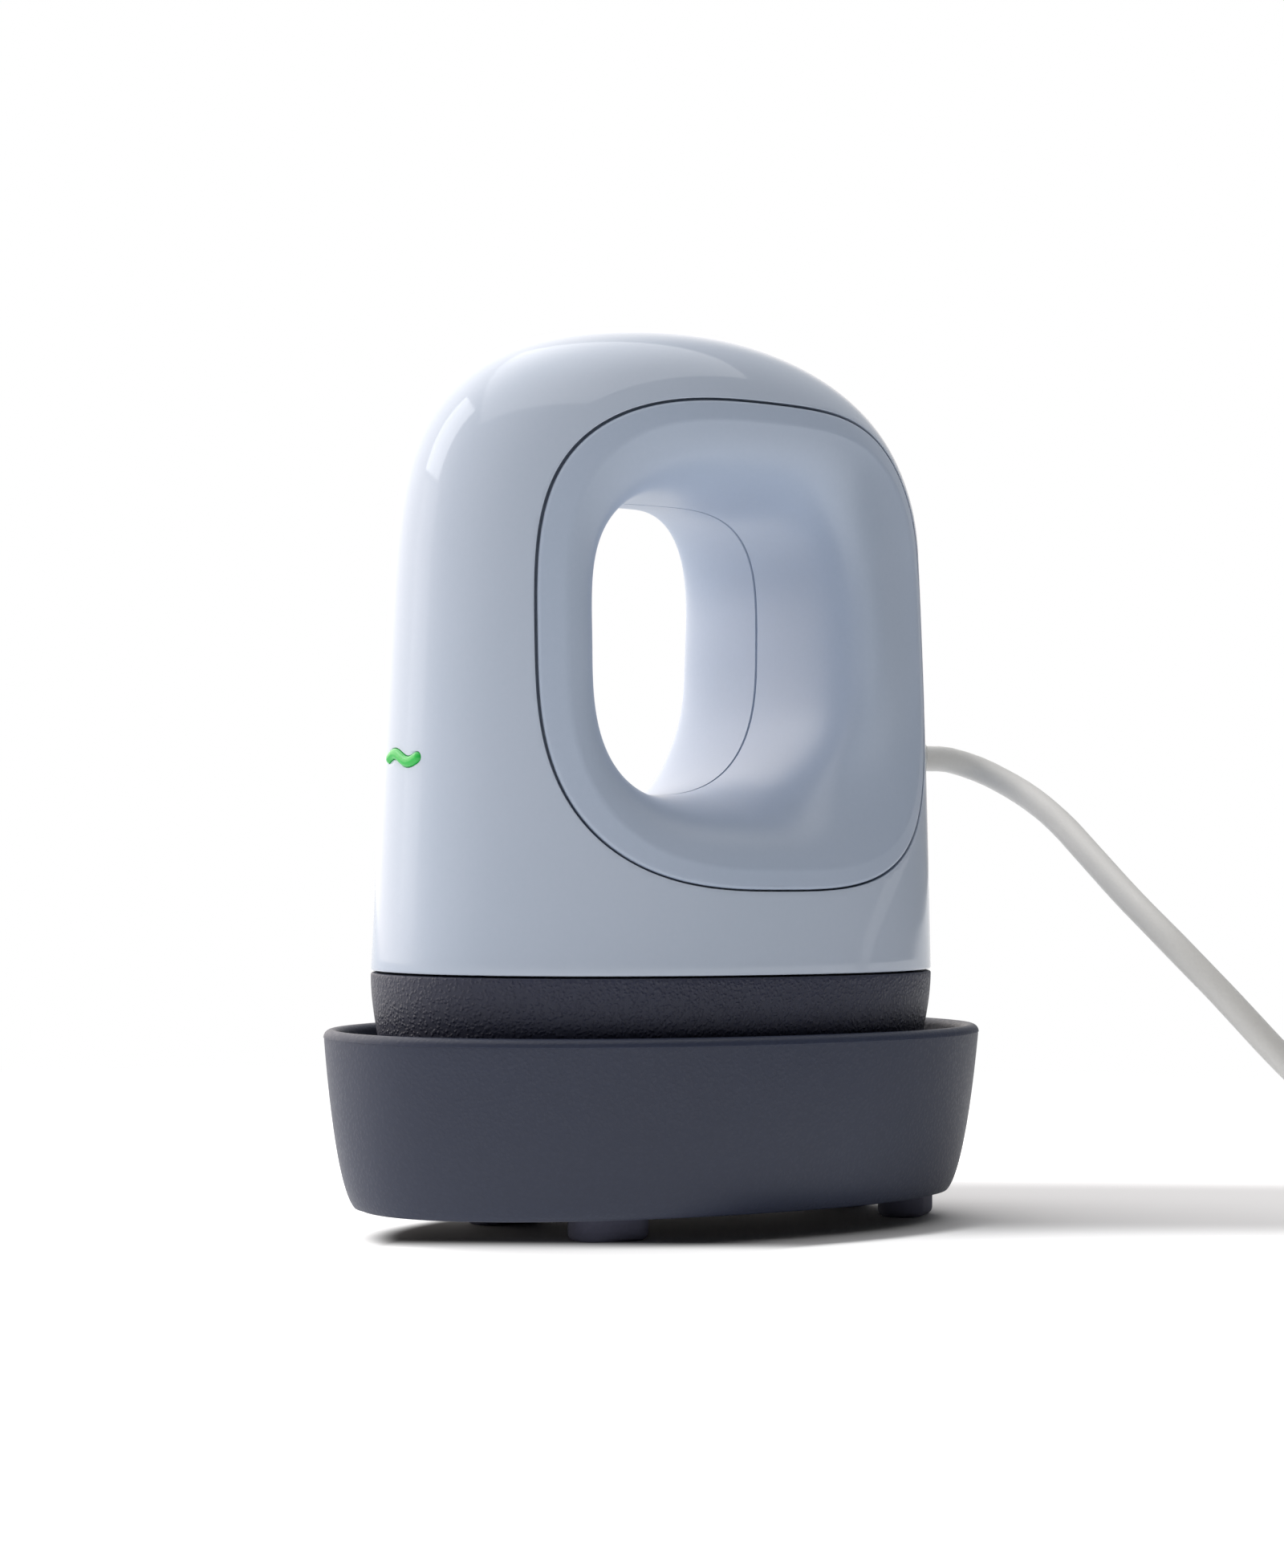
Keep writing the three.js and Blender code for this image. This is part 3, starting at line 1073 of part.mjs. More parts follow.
// Heater
add('heat_plate', 'plate', heatPlate());
add('plate_gasket', 'silicone', band(PLATE_INSET + 0.4, PLATE_INSET + 0.4 + GASKET_WIDTH,
  PLATE_TOP + SEAT_GAP, PLATE_TOP + SEAT_GAP + GASKET_THICKNESS));
add('heating_element', 'steel', heatingElement());
add('element_clamp', 'steel', stackSheet(STACK_BOTTOM, CLAMP_PLATE));
add('insulation_board', 'wool', stackSheet(INSULATION_BOTTOM, INSULATION_THICKNESS));
add('heat_shield', 'steel', stackSheet(SHIELD_BOTTOM, SHIELD_THICKNESS));
add('temperature_sensor', 'ceramic', rod(SENSOR_RADIUS, 0, -2, PLATE_TOP + SEAT_GAP,
  PLATE_TOP + SEAT_GAP + SENSOR_HEIGHT, 20));
add('thermal_fuse', 'brass', rodAlongY(FUSE_RADIUS, 0, PLATE_TOP + SEAT_GAP + FUSE_RADIUS,
  FUSE_Y - FUSE_LENGTH / 2, FUSE_Y + FUSE_LENGTH / 2, 16));
CORNERS.forEach((corner, i) => add(`plate_screw_${corner}`, 'steel', screw(STUD_PLACES[i],
  FRAME_TOP + SEAT_GAP, FRAME_TOP + SEAT_GAP + SCREW_HEAD_HEIGHT, PLATE_TOP + STUD_HEIGHT - SCREW_BITE)));

// Electronics
const onBoard = BOARD_TOP + SEAT_GAP;
add('control_board', 'board', box(-BOARD_HALF_WIDTH, BOARD_HALF_WIDTH, BOARD_FRONT_Y, BOARD_REAR_Y,
  BOARD_BOTTOM, BOARD_TOP));
add('power_relay', 'black', block(RELAY, onBoard));
add('filter_capacitor', 'amber', block(CAPACITOR, onBoard));
add('supply_module', 'black', block(SUPPLY_MODULE, onBoard));
add('buzzer', 'black', rod(BUZZER.radius, BUZZER.x, BUZZER.y, onBoard, onBoard + BUZZER.height, 20));
add('terminal_block', 'ceramic', block(TERMINAL, TERMINAL_BOTTOM));
add('heater_lead_right', 'silicone', heaterLead(1));
add('heater_lead_left', 'silicone', heaterLead(-1));
add('supply_lead', 'black', supplyLead());
add('fuse_lead', 'wool', fuseLead());

// Indicator light
add('light_lens', 'light', lightLens());
add('light_diode', 'diode', box(-3, 3, LIGHT_BOARD_Y - SEAT_GAP - LED_DEPTH, LIGHT_BOARD_Y - SEAT_GAP,
  LIGHT_HEIGHT - 1.6, LIGHT_HEIGHT + 1.6));
add('light_board', 'board', box(-LIGHT_BOARD_HALF, LIGHT_BOARD_HALF, LIGHT_BOARD_Y,
  LIGHT_BOARD_Y + BOARD_THICKNESS, LIGHT_HEIGHT - LIGHT_BOARD_HALF, LIGHT_HEIGHT + LIGHT_BOARD_HALF));
add('light_lead', 'black', lightLead());

// Power button
add('power_button', 'shell', powerButton());
add('button_switch', 'black', box(-SWITCH_HALF, SWITCH_HALF, SWITCH_BOARD_Y + SEAT_GAP,
  SWITCH_BOARD_Y + SEAT_GAP + SWITCH_DEPTH, BUTTON_HEIGHT - SWITCH_HALF, BUTTON_HEIGHT + SWITCH_HALF));
add('switch_board', 'board', box(-SWITCH_BOARD_HALF_WIDTH, SWITCH_BOARD_HALF_WIDTH,
  SWITCH_BOARD_Y - BOARD_THICKNESS, SWITCH_BOARD_Y,
  BUTTON_HEIGHT - SWITCH_BOARD_HALF_HEIGHT, BUTTON_HEIGHT + SWITCH_BOARD_HALF_HEIGHT));
add('switch_lead', 'black', switchLead());

// Power cord
add('cord_bushing', 'cord', cordBushing());
add('cord_clamp', 'frame', cordClamp());
add('clamp_screw_right', 'steel', clampScrew(1));
add('clamp_screw_left', 'steel', clampScrew(-1));
add('inner_cord', 'cord', innerCord());
add('cord_run', 'cord', cordRun());
add('cord_coil', 'cord', sweep(COIL_LINE, CORD_RADIUS, 6));
add('cord_tie', 'black', cordTie());
add('plug_body', 'cord', plugBody());
add('plug_pin_right', 'brass', plugPin(1));
add('plug_pin_left', 'brass', plugPin(-1));

console.log(`coil: ${(COIL_TURNS).toFixed(2)} turns, ${lengthOf(COIL_LINE).toFixed(0)} mm,`
  + ` least gap to itself ${leastGap(COIL_LINE, 2 * CORD_RADIUS).toFixed(2)} mm`);
console.log(`free run: ${lengthOf(CORD_ROUTE).toFixed(0)} mm`);

export default part;
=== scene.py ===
"""A mini heat press in its safety tray, with its power cord put away in a coil beside it.

Lengths are written in millimetres and made metres where a mesh gets its points.
"""
import json
import math

import bpy
import numpy as np
from mathutils import Matrix, Vector


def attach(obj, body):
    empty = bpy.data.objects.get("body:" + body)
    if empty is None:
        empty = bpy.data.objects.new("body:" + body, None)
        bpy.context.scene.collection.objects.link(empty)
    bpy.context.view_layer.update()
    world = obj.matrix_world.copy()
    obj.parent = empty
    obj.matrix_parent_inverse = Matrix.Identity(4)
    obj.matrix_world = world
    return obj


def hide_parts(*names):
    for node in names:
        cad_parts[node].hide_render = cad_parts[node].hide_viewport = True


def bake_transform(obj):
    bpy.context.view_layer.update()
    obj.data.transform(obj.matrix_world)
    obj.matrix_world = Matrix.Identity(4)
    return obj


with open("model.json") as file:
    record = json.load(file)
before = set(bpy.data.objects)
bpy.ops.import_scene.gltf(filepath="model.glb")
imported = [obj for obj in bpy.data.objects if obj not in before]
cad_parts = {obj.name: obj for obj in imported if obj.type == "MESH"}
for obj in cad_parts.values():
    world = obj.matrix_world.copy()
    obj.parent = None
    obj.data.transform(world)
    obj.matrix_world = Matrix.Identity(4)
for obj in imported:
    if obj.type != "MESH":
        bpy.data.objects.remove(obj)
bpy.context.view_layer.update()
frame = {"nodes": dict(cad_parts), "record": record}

MM = 0.001
TURN = 2 * math.pi
HALF_TURN = math.pi

# The press's form, as in its solids

SEAM = 39.8  # bottom of the shell
SKIRT_TOP = 39.5
SKIRT_BOTTOM = 11.2
SHELL_HEIGHT = 98.5
SHELL_WALL = 2.2
HALF_WIDTH = 30.6
FRONT_REACH = 50.3
REAR_REACH = 44.6
WIDEST_Y = 2.8
CROWN_Y = -4.4
FRONT_POWER, REAR_POWER, TOP_POWER = 2.1, 2.33, 2.0
GROOVE = 0.27
LIGHT_HEIGHT = 71.7
BUTTON_HEIGHT = 100.0
CORD_HEIGHT = 73.6


def mix(a, b, t):
    return a + (b - a) * t


def smooth(t):
    t = np.clip(t, 0, 1)
    return t * t * (3 - 2 * t)


def root_of(cosine, power):
    return np.sign(cosine) * np.abs(cosine) ** (2 / power)


def bezier(t, *handles):
    a, b, c, d = handles
    u = 1 - t
    return u ** 3 * a + 3 * u * u * t * b + 3 * u * t * t * c + t ** 3 * d


def side_profile(base, slope, straight, end, lean, spread):
    """A side of the dome by height above the seam: tapered, then a corner curve up to the crown."""
    start = base + slope * straight
    rise = SHELL_HEIGHT - straight
    t = np.linspace(0, 1, 4000)
    reach = bezier(t, start, start + slope * lean * rise, mix(end, start, spread), end)
    height = bezier(t, 0, lean * rise, rise, rise)

    def at(h):
        return np.where(h <= straight, base + slope * h, np.interp(h - straight, height, reach))

    return at


front_edge = side_profile(WIDEST_Y - FRONT_REACH, 0.043, 56.4, CROWN_Y, 0.624, 0.873)
rear_edge = side_profile(WIDEST_Y + REAR_REACH, -0.016, 66.1, CROWN_Y, 0.724, 0.457)
side_edge = side_profile(HALF_WIDTH, -0.04, 81.1, 0, 0.709, 0.691)


def dome_section(z):
    """Half width, front and rear reach, middle and the two powers of the dome at a height."""
    height = np.clip(z - SEAM, 0, SHELL_HEIGHT)
    share = height / SHELL_HEIGHT
    middle = mix(WIDEST_Y, CROWN_Y, share ** 2)
    powers = [mix(p, TOP_POWER, share ** 3) for p in (FRONT_POWER, REAR_POWER)]
    return side_edge(height), middle - front_edge(height), rear_edge(height) - middle, middle, *powers


def dome_half_width(y, z):
    half, front, rear, middle, front_power, rear_power = dome_section(z)
    ahead = y < middle
    power = np.where(ahead, front_power, rear_power)
    share = np.abs(y - middle) / np.where(ahead, front, rear)
    return half * np.maximum(1 - share ** power, 0) ** (1 / power)


def dome_end(x, z, side):
    """The dome's y at a place on its front, side -1, or its rear, side 1."""
    half, front, rear, middle, front_power, rear_power = dome_section(z)
    power = front_power if side < 0 else rear_power
    reach = np.maximum(1 - np.abs(x / half) ** power, 0) ** (1 / power)
    return middle + side * (front if side < 0 else rear) * reach


def dome_normal(y, z):
    step = 0.05
    along_y = (dome_half_width(y + step, z) - dome_half_width(y - step, z)) / (2 * step)
    along_z = (dome_half_width(y, z + step) - dome_half_width(y, z - step)) / (2 * step)
    return unit(np.stack([np.ones_like(y), -along_y, -along_z], -1))


def unit(v):
    return v / np.maximum(np.linalg.norm(v, axis=-1, keepdims=True), 1e-9)


def angles(count):
    return np.arange(count) / count * TURN


def oval(angle, half, front, rear, middle, powers, z):
    """A ring of the plan: superellipse halves before and behind its widest line."""
    c, s = np.cos(angle), np.sin(angle)
    power = np.where(s < 0, powers[0], powers[1])
    y = middle + np.where(s < 0, front, rear) * root_of(s, power)
    return np.stack([half * root_of(c, power), y, np.broadcast_to(z, angle.shape)], -1)


def inset_ring(angle, inset, z):
    return oval(angle, HALF_WIDTH - inset, FRONT_REACH - inset, REAR_REACH - inset, WIDEST_Y,
                (FRONT_POWER, REAR_POWER), z)


def dome_ring(angle, z, inset=0.0):
    half, front, rear, middle, *powers = dome_section(z)
    return oval(angle, half - inset, front - inset, rear - inset, middle, powers, z)


def side_loop(angle, y, z, half_length, half_height, powers):
    c, s = np.cos(angle), np.sin(angle)
    power = np.where(s > 0, powers[0], powers[1])
    return y + half_length * root_of(c, power), z + half_height * root_of(s, power)


def window_loop(angle, inset):
    return side_loop(angle, 2.45, SEAM + 49.2, 37.6 - inset, 36.8 - inset, (3.4, 3.0))


def waist_loop(angle, grow=0.0):
    ahead = np.cos(angle) < 0
    return side_loop(angle, -1.37, SEAM + 49.55, 21.17 + grow, 22.55 + grow,
                     (np.where(ahead, 3.1, 3.6), np.where(ahead, 2.95, 2.65)))


def on_dome(angle, inset):
    y, z = window_loop(angle, inset)
    return np.stack([dome_half_width(y, z), y, z], -1)


def even_angles(count):
    """Angles that share out the window's and the waist's outlines evenly."""
    fine = np.linspace(0, TURN, 4001)
    length = 0
    for y, z in (window_loop(fine, 0), waist_loop(fine)):
        steps = np.hypot(np.diff(y), np.diff(z))
        length = length + np.concatenate([[0], np.cumsum(steps)]) / steps.sum()
    length = length + 0.25 * fine / TURN
    return np.interp(np.arange(count) / count * length[-1], length, fine)


# Making and finishing meshes


def activate(piece):
    bpy.ops.object.select_all(action="DESELECT")
    piece.select_set(True)
    bpy.context.view_layer.objects.active = piece


def made(name, primitive, **sizes):
    """Adds one of Blender's primitives and gives it its name."""
    bpy.ops.object.select_all(action="DESELECT")
    primitive(**sizes)
    piece = bpy.context.object
    piece.name = name
    piece.data.name = name
    return piece


def points_of(piece):
    flat = np.empty(len(piece.data.vertices) * 3, np.float32)
    piece.data.vertices.foreach_get("co", flat)
    return flat.reshape(-1, 3).astype(float)


def put_points(piece, points):
    piece.data.vertices.foreach_set("co", np.ascontiguousarray(points * MM, np.float32).ravel())
    piece.data.update()


def open_mesh(piece):
    """Enters edit mode with the whole mesh selected."""
    activate(piece)
    bpy.ops.object.mode_set(mode="EDIT")
    bpy.ops.mesh.select_all(action="SELECT")


def tidy_mesh(piece, merge=0.0, crease=35):
    """Merges doubled points, turns faces outwards and shades the mesh smooth up to an angle."""
    open_mesh(piece)
    if merge:
        bpy.ops.mesh.remove_doubles(threshold=merge * MM)
    bpy.ops.mesh.normals_make_consistent(inside=False)
    bpy.ops.object.mode_set(mode="OBJECT")
    bpy.ops.object.shade_smooth_by_angle(angle=math.radians(crease))
    return piece


def map_around(piece, column, along, around):
    """A UV map on a swept form: once round it across, and the run of its line along."""
    mesh = piece.data
    at = np.array([loop.vertex_index for loop in mesh.loops])
    starts = np.array([face.loop_start for face in mesh.polygons])
    face = np.repeat(np.arange(len(starts)), [f.loop_total for f in mesh.polygons])
    across = column[at].astype(float)
    span = np.maximum.reduceat(across, starts) - np.minimum.reduceat(across, starts)
    across += around * ((span > around / 2)[face] & (across < around / 2))
    layer = mesh.uv_layers.active or mesh.uv_layers.new(name="UVMap")
    layer.data.foreach_set("uv", np.stack([across / around, along[at]], -1).astype(np.float32).ravel())


def solid_of(name, rings, crease=35, along=None):
    """A closed form from rings of points; each end closes at its ring's middle."""
    rings = np.asarray(rings)
    rows, around = rings.shape[:2]
    piece = made(name, bpy.ops.mesh.primitive_uv_sphere_add, segments=around, ring_count=rows + 1, radius=1)
    at = points_of(piece)
    latitude = np.arctan2(at[:, 2], np.hypot(at[:, 0], at[:, 1]))
    row = np.rint((latitude / HALF_TURN + 0.5) * (rows + 1)).astype(int)
    column = np.rint(np.arctan2(at[:, 1], at[:, 0]) / TURN * around).astype(int) % around
    inner = np.clip(row - 1, 0, rows - 1)
    placed = rings[inner, column]
    placed[row == 0] = rings[0].mean(0)
    placed[row == rows + 1] = rings[-1].mean(0)
    put_points(piece, placed)
    tidy_mesh(piece, crease=crease)
    if along is not None:
        map_around(piece, column, np.asarray(along)[inner], around)
    return piece


def hoop_of(name, rings, crease=35, along=None):
    """A closed hoop from rings of points, the last of which joins the first."""
    rings = np.asarray(rings)
    rows, around = rings.shape[:2]
    piece = made(name, bpy.ops.mesh.primitive_torus_add, major_segments=around, minor_segments=rows,
                 major_radius=1, minor_radius=0.25)
    at = points_of(piece)
    from_axis = np.hypot(at[:, 0], at[:, 1])
    column = np.rint(np.arctan2(at[:, 1], at[:, 0]) / TURN * around).astype(int) % around
    row = np.rint(np.arctan2(at[:, 2], from_axis - 1) / TURN * rows).astype(int) % rows
    put_points(piece, rings[row, column])
    tidy_mesh(piece, crease=crease)
    if along is not None:
        map_around(piece, column, np.asarray(along)[row], around)
    return piece


def spun(name, profile, height, sides=64, crease=35):
    """A form turned about an axis along y at a height, from a closed profile of radius and y."""
    piece = made(name, bpy.ops.mesh.primitive_circle_add, vertices=len(profile), radius=1)
    put_points(piece, np.array([(0, y, height + radius) for radius, y in profile], float))
    open_mesh(piece)
    bpy.ops.mesh.spin(steps=sides, angle=TURN, center=(0, 0, height * MM), axis=(0, 1, 0))
    bpy.ops.object.mode_set(mode="OBJECT")
    return tidy_mesh(piece, merge=0.001, crease=crease)


def carve(piece, cutter, crease=35):
    """Cuts one form out of another with a Boolean modifier, applied."""
    activate(piece)
    bpy.ops.object.modifier_add(type="BOOLEAN")
    modifier = piece.modifiers[-1]
    modifier.operation = "DIFFERENCE"
    modifier.solver = "EXACT"
    modifier.object = cutter
    bpy.ops.object.modifier_apply(modifier=modifier.name)
    bpy.data.objects.remove(cutter)
    bpy.ops.object.shade_smooth_by_angle(angle=math.radians(crease))
    return piece


def rounded_profile(corners, steps=5):
    """A closed profile of (inset, z, radius) corners, each one rounded by its radius."""
    places = np.array([c[:2] for c in corners], float)
    profile = []
    for k, (_, _, radius) in enumerate(corners):
        corner = places[k]
        if not radius:
            profile.append(corner)
            continue
        before = corner + unit(places[k - 1] - corner) * radius
        after = corner + unit(places[(k + 1) % len(places)] - corner) * radius
        for t in np.linspace(0, 1, steps):
            profile.append((1 - t) ** 2 * before + 2 * t * (1 - t) * corner + t * t * after)
    return profile


# Camera


def aim_camera():
    """A long lens to the right of the front, a little above the middle of the tray."""
    distance, height = 553.5, 59.0
    turn, yaw, pitch, roll = (math.radians(a) for a in (54.1, -0.2, 0.985, 0.43))
    ahead = Vector((-math.sin(turn), math.cos(turn), 0))
    right = Vector((math.cos(turn), math.sin(turn), 0))
    up = Vector((0, 0, 1))

    def turned(a, b, angle):
        return a * math.cos(angle) + b * math.sin(angle), b * math.cos(angle) - a * math.sin(angle)

    ahead, right = turned(ahead, right, yaw)
    ahead, up = turned(ahead, up, pitch)
    right, up = turned(right, up, roll)
    data = bpy.data.cameras.new("camera")
    data.sensor_width = 36
    data.lens = 81.53
    data.clip_start = 0.01
    camera = bpy.data.objects.new("camera", data)
    bpy.context.scene.collection.objects.link(camera)
    matrix = Matrix((right, up, -ahead)).transposed().to_4x4()
    matrix.translation = Vector((distance * math.sin(turn), -distance * math.cos(turn), height)) * MM
    camera.matrix_world = matrix
    bpy.context.scene.camera = camera


aim_camera()

# Power cord

CORD_RADIUS = 2.1
CORD_EXIT = np.array([0.0, float(rear_edge(CORD_HEIGHT - SEAM)) + 7.0, CORD_HEIGHT])
CORD_ROUTE = np.array([
    (0, 0.3, 0), (0, 6.3, -0.1), (2.2, 10.9, -1.6), (9.8, 13.7, -5.4), (19.5, 12.6, -9.9),
    (30.5, 9.7, -15.6), (42, 7.1, -22.1), (51.5, 6.6, -28.3), (59.5, 10.1, -36.5), (68.3, 17.7, -48.6),
    (76.3, 26.0, -58.2), (84.6, 33.7, -65), (93.8, 38.7, -68.6), (103.8, 41.5, -70.1),
]) + CORD_EXIT
COIL_X, COIL_Y = 122.5, 67.0
COIL_OUTER = 29.8
COIL_PITCH = 4.8
COIL_LAYER = 4.75
COIL_FLOOR = 3.3
TURNS_PER_LAYER = 2.75
LAYERS = 4
LAST_TURNS = 2.667
COIL_TURNS = (LAYERS - 1) * TURNS_PER_LAYER + LAST_TURNS
COIL_STEPS = 24
COIL_INNER = COIL_OUTER - TURNS_PER_LAYER * COIL_PITCH
COIL_TOP = COIL_FLOOR + (LAYERS - 1) * COIL_LAYER  # the cord's middle in the top layer
PLUG_THICKNESS = 11.0
PLUG_REST = COIL_TOP + CORD_RADIUS + 0.3 + PLUG_THICKNESS / 2


def through(places, spacing):
    """A centripetal Catmull-Rom line through some places, with points about a spacing apart."""
    places = np.asarray(places, float)
    ends = np.array([2 * places[0] - places[1]]), np.array([2 * places[-1] - places[-2]])
    knots = np.concatenate([ends[0], places, ends[1]])
    line = [places[:1]]
    for k in range(1, len(knots) - 2):
        p0, p1, p2, p3 = knots[k - 1:k + 3]
        t0 = 0.0
        t1, t2, t3 = np.cumsum([np.linalg.norm(b - a) ** 0.5 for a, b in ((p0, p1), (p1, p2), (p2, p3))])
        count = max(1, round(float(np.linalg.norm(p2 - p1)) / spacing))
        t = np.linspace(t1, t2, count + 1)[1:, None]

        def between(start, end, a, b):
            return (end - t) / (end - start) * a + (t - start) / (end - start) * b

        a1, a2, a3 = between(t0, t1, p0, p1), between(t1, t2, p1, p2), between(t2, t3, p2, p3)
        line.append(between(t1, t2, between(t0, t2, a1, a2), between(t1, t3, a2, a3)))
    return np.concatenate(line)


def coil_line():
    """The coil's turns, in four layers, and the last bend up to the plug."""
    turn = np.arange(0, COIL_TURNS + 0.5 / COIL_STEPS, 1 / COIL_STEPS)
    in_layer = turn % (2 * TURNS_PER_LAYER)
    radius = COIL_OUTER - COIL_PITCH * np.minimum(in_layer, 2 * TURNS_PER_LAYER - in_layer)
    climbed = sum(smooth((turn - (k + 1) * TURNS_PER_LAYER + 0.25) * 2) for k in range(LAYERS - 1))
    angle = turn * TURN
    line = np.stack([COIL_X + radius * np.sin(angle), COIL_Y + radius * np.cos(angle),
                     COIL_FLOOR + climbed * COIL_LAYER], -1)
    last = COIL_TURNS * TURN
    hub = LAST_TURNS * COIL_PITCH  # from the coil's axis to the bend's
    at = last + TURN / 3 * np.arange(1, 9) / 8
    bend = np.stack([COIL_X + hub * np.sin(last) + COIL_INNER * np.sin(at),
                     COIL_Y + hub * np.cos(last) + COIL_INNER * np.cos(at),
                     np.full(8, COIL_FLOOR)], -1)
    line = np.concatenate([line, bend])
    share = smooth(np.arange(1, 15) / 13)
    line[-14:, 2] = mix(COIL_TOP, PLUG_REST, share)
    along = unit((line[-1] - line[-2]) * (1, 1, 0))
    return np.concatenate([line, [line[-1] + along * 2 * CORD_RADIUS]]), along


def sweep_rings(line, radius, sides):
    along = unit(np.gradient(line, axis=0))
    side = unit(np.cross(along, (0, 0, 1)))
    up = np.cross(side, along)
    angle = angles(sides)[None, :, None]
    return line[:, None] + radius * (side[:, None] * np.cos(angle) + up[:, None] * np.sin(angle))


COIL, PLUG_ALONG = coil_line()
LEVEL_RUN = COIL[0] - ((8.5, 0, 0), (4.5, 0, 0))
FREE_RUN = through(np.concatenate([CORD_ROUTE, LEVEL_RUN, COIL[:1]]), 5.0)
CORD_PATH = np.concatenate([FREE_RUN, COIL[1:]])
CORD_SIDES = 16


def run_of(line):
    """How far along a line each of its points lies."""
    return np.concatenate([[0], np.cumsum(np.linalg.norm(np.diff(line, axis=0), axis=1))])


def power_cord():
    line = through(CORD_PATH, 2.2)
    return solid_of("power_cord", sweep_rings(line, CORD_RADIUS, CORD_SIDES)[:, ::-1], crease=60,
                    along=run_of(line) / (TURN * CORD_RADIUS))


cord = power_cord()

# Plug, pins and strap

PLUG_BOOT = 9.0
PLUG_LENGTH = 26.0
PLUG_WIDTH = 17.0
PIN_SPACING = 12.7
PIN_LENGTH = 16.0
PIN_WIDTH = 6.3
PIN_THICKNESS = 1.5
STRAP_HALF_WIDTH = 4.5
STRAP_THICKNESS = 0.85


def at_plug(points):
    """Points along x from the cord's end, turned and moved to where the plug lies."""
    across = np.cross((0, 0, 1), PLUG_ALONG)
    points = np.asarray(points, float)
    return (COIL[-1] + points[..., :1] * PLUG_ALONG + points[..., 1:2] * across
            + points[..., 2:3] * np.array([0, 0, 1.0]))


def plug_section(x, half_width, half_height, power=3.2):
    angle = angles(64)
    return np.stack([np.full(64, x), half_width * root_of(np.cos(angle), power),
                     half_height * root_of(np.sin(angle), power)], -1)


def plug():
    """The moulded plug: a ribbed boot, a swelling grip with finger ridges, and a flat face."""
    w, t = PLUG_WIDTH / 2, PLUG_THICKNESS / 2
    rings = [plug_section(0.3, 2.2, 2.2, 2.0), plug_section(0.3, 2.7, 2.7, 2.0)]
    for k in range(4):
        x = 0.5 + 2.1 * k
        size = 2.9 + 0.25 * k
        for dx, shrink in ((0, 0), (0.2, -0.08), (1.0, -0.08), (1.2, 0), (1.35, 0.5), (1.9, 0.5)):
            rings.append(plug_section(x + dx, size - shrink, size - shrink, 2.1))
    for share in np.linspace(0.05, 1, 12):
        x = PLUG_BOOT + 0.2 + 9 * share
        swell = smooth(share)
        rings.append(plug_section(x, mix(3.8, w, swell), mix(3.6, t, swell), mix(2.1, 3.4, swell)))
    for k in range(5):
        x = PLUG_BOOT + 10.4 + 1.9 * k
        for dx, dip in ((0, 0), (0.25, 0.42), (0.75, 0.42), (1.0, 0)):
            rings.append(plug_section(x + dx, w - dip, t - dip * 0.3, 3.4))
    face = PLUG_BOOT + PLUG_LENGTH
    for x, inset in ((face - 4, 0), (face - 0.9, 0), (face - 0.45, 0.12), (face - 0.12, 0.45),
                     (face, 0.9), (face, 2.0)):
        rings.append(plug_section(x, w - inset, t - inset, 3.4))
    return solid_of("plug", at_plug(rings), crease=40)


def plug_pin(name, side):
    """A flat pin with rounded edges, a bevelled tip and the hole through it."""
    start = 0.3 + PLUG_BOOT + PLUG_LENGTH + 0.3
    piece = made(name, bpy.ops.mesh.primitive_cube_add, size=1)
    at = points_of(piece)
    size = np.array([PIN_LENGTH, PIN_THICKNESS, PIN_WIDTH])
    put_points(piece, at * size + (start + PIN_LENGTH / 2, side * PIN_SPACING / 2, 0))
    open_mesh(piece)
    bpy.ops.mesh.bevel(offset=0.3 * MM, segments=3, affect="EDGES")
    bpy.ops.object.mode_set(mode="OBJECT")
    at = points_of(piece) / MM
    tip = smooth((at[:, 0] - start - PIN_LENGTH + 2) / 2)
    at[:, 2] *= 1 - 0.22 * tip
    at[:, 1] = side * PIN_SPACING / 2 + (at[:, 1] - side * PIN_SPACING / 2) * (1 - 0.4 * tip)
    put_points(piece, at)
    tidy_mesh(piece)
    hole = made("pin_hole", bpy.ops.mesh.primitive_cylinder_add, vertices=32, radius=1.6 * MM, depth=4 * MM,
                rotation=(HALF_TURN / 2, 0, 0),
                location=((start + PIN_LENGTH - 4.2) * MM, side * PIN_SPACING / 2 * MM, 0))
    bpy.ops.object.transform_apply(location=True, rotation=True, scale=True)
    carve(piece, hole)
    put_points(piece, at_plug(points_of(piece) / MM))
    return piece


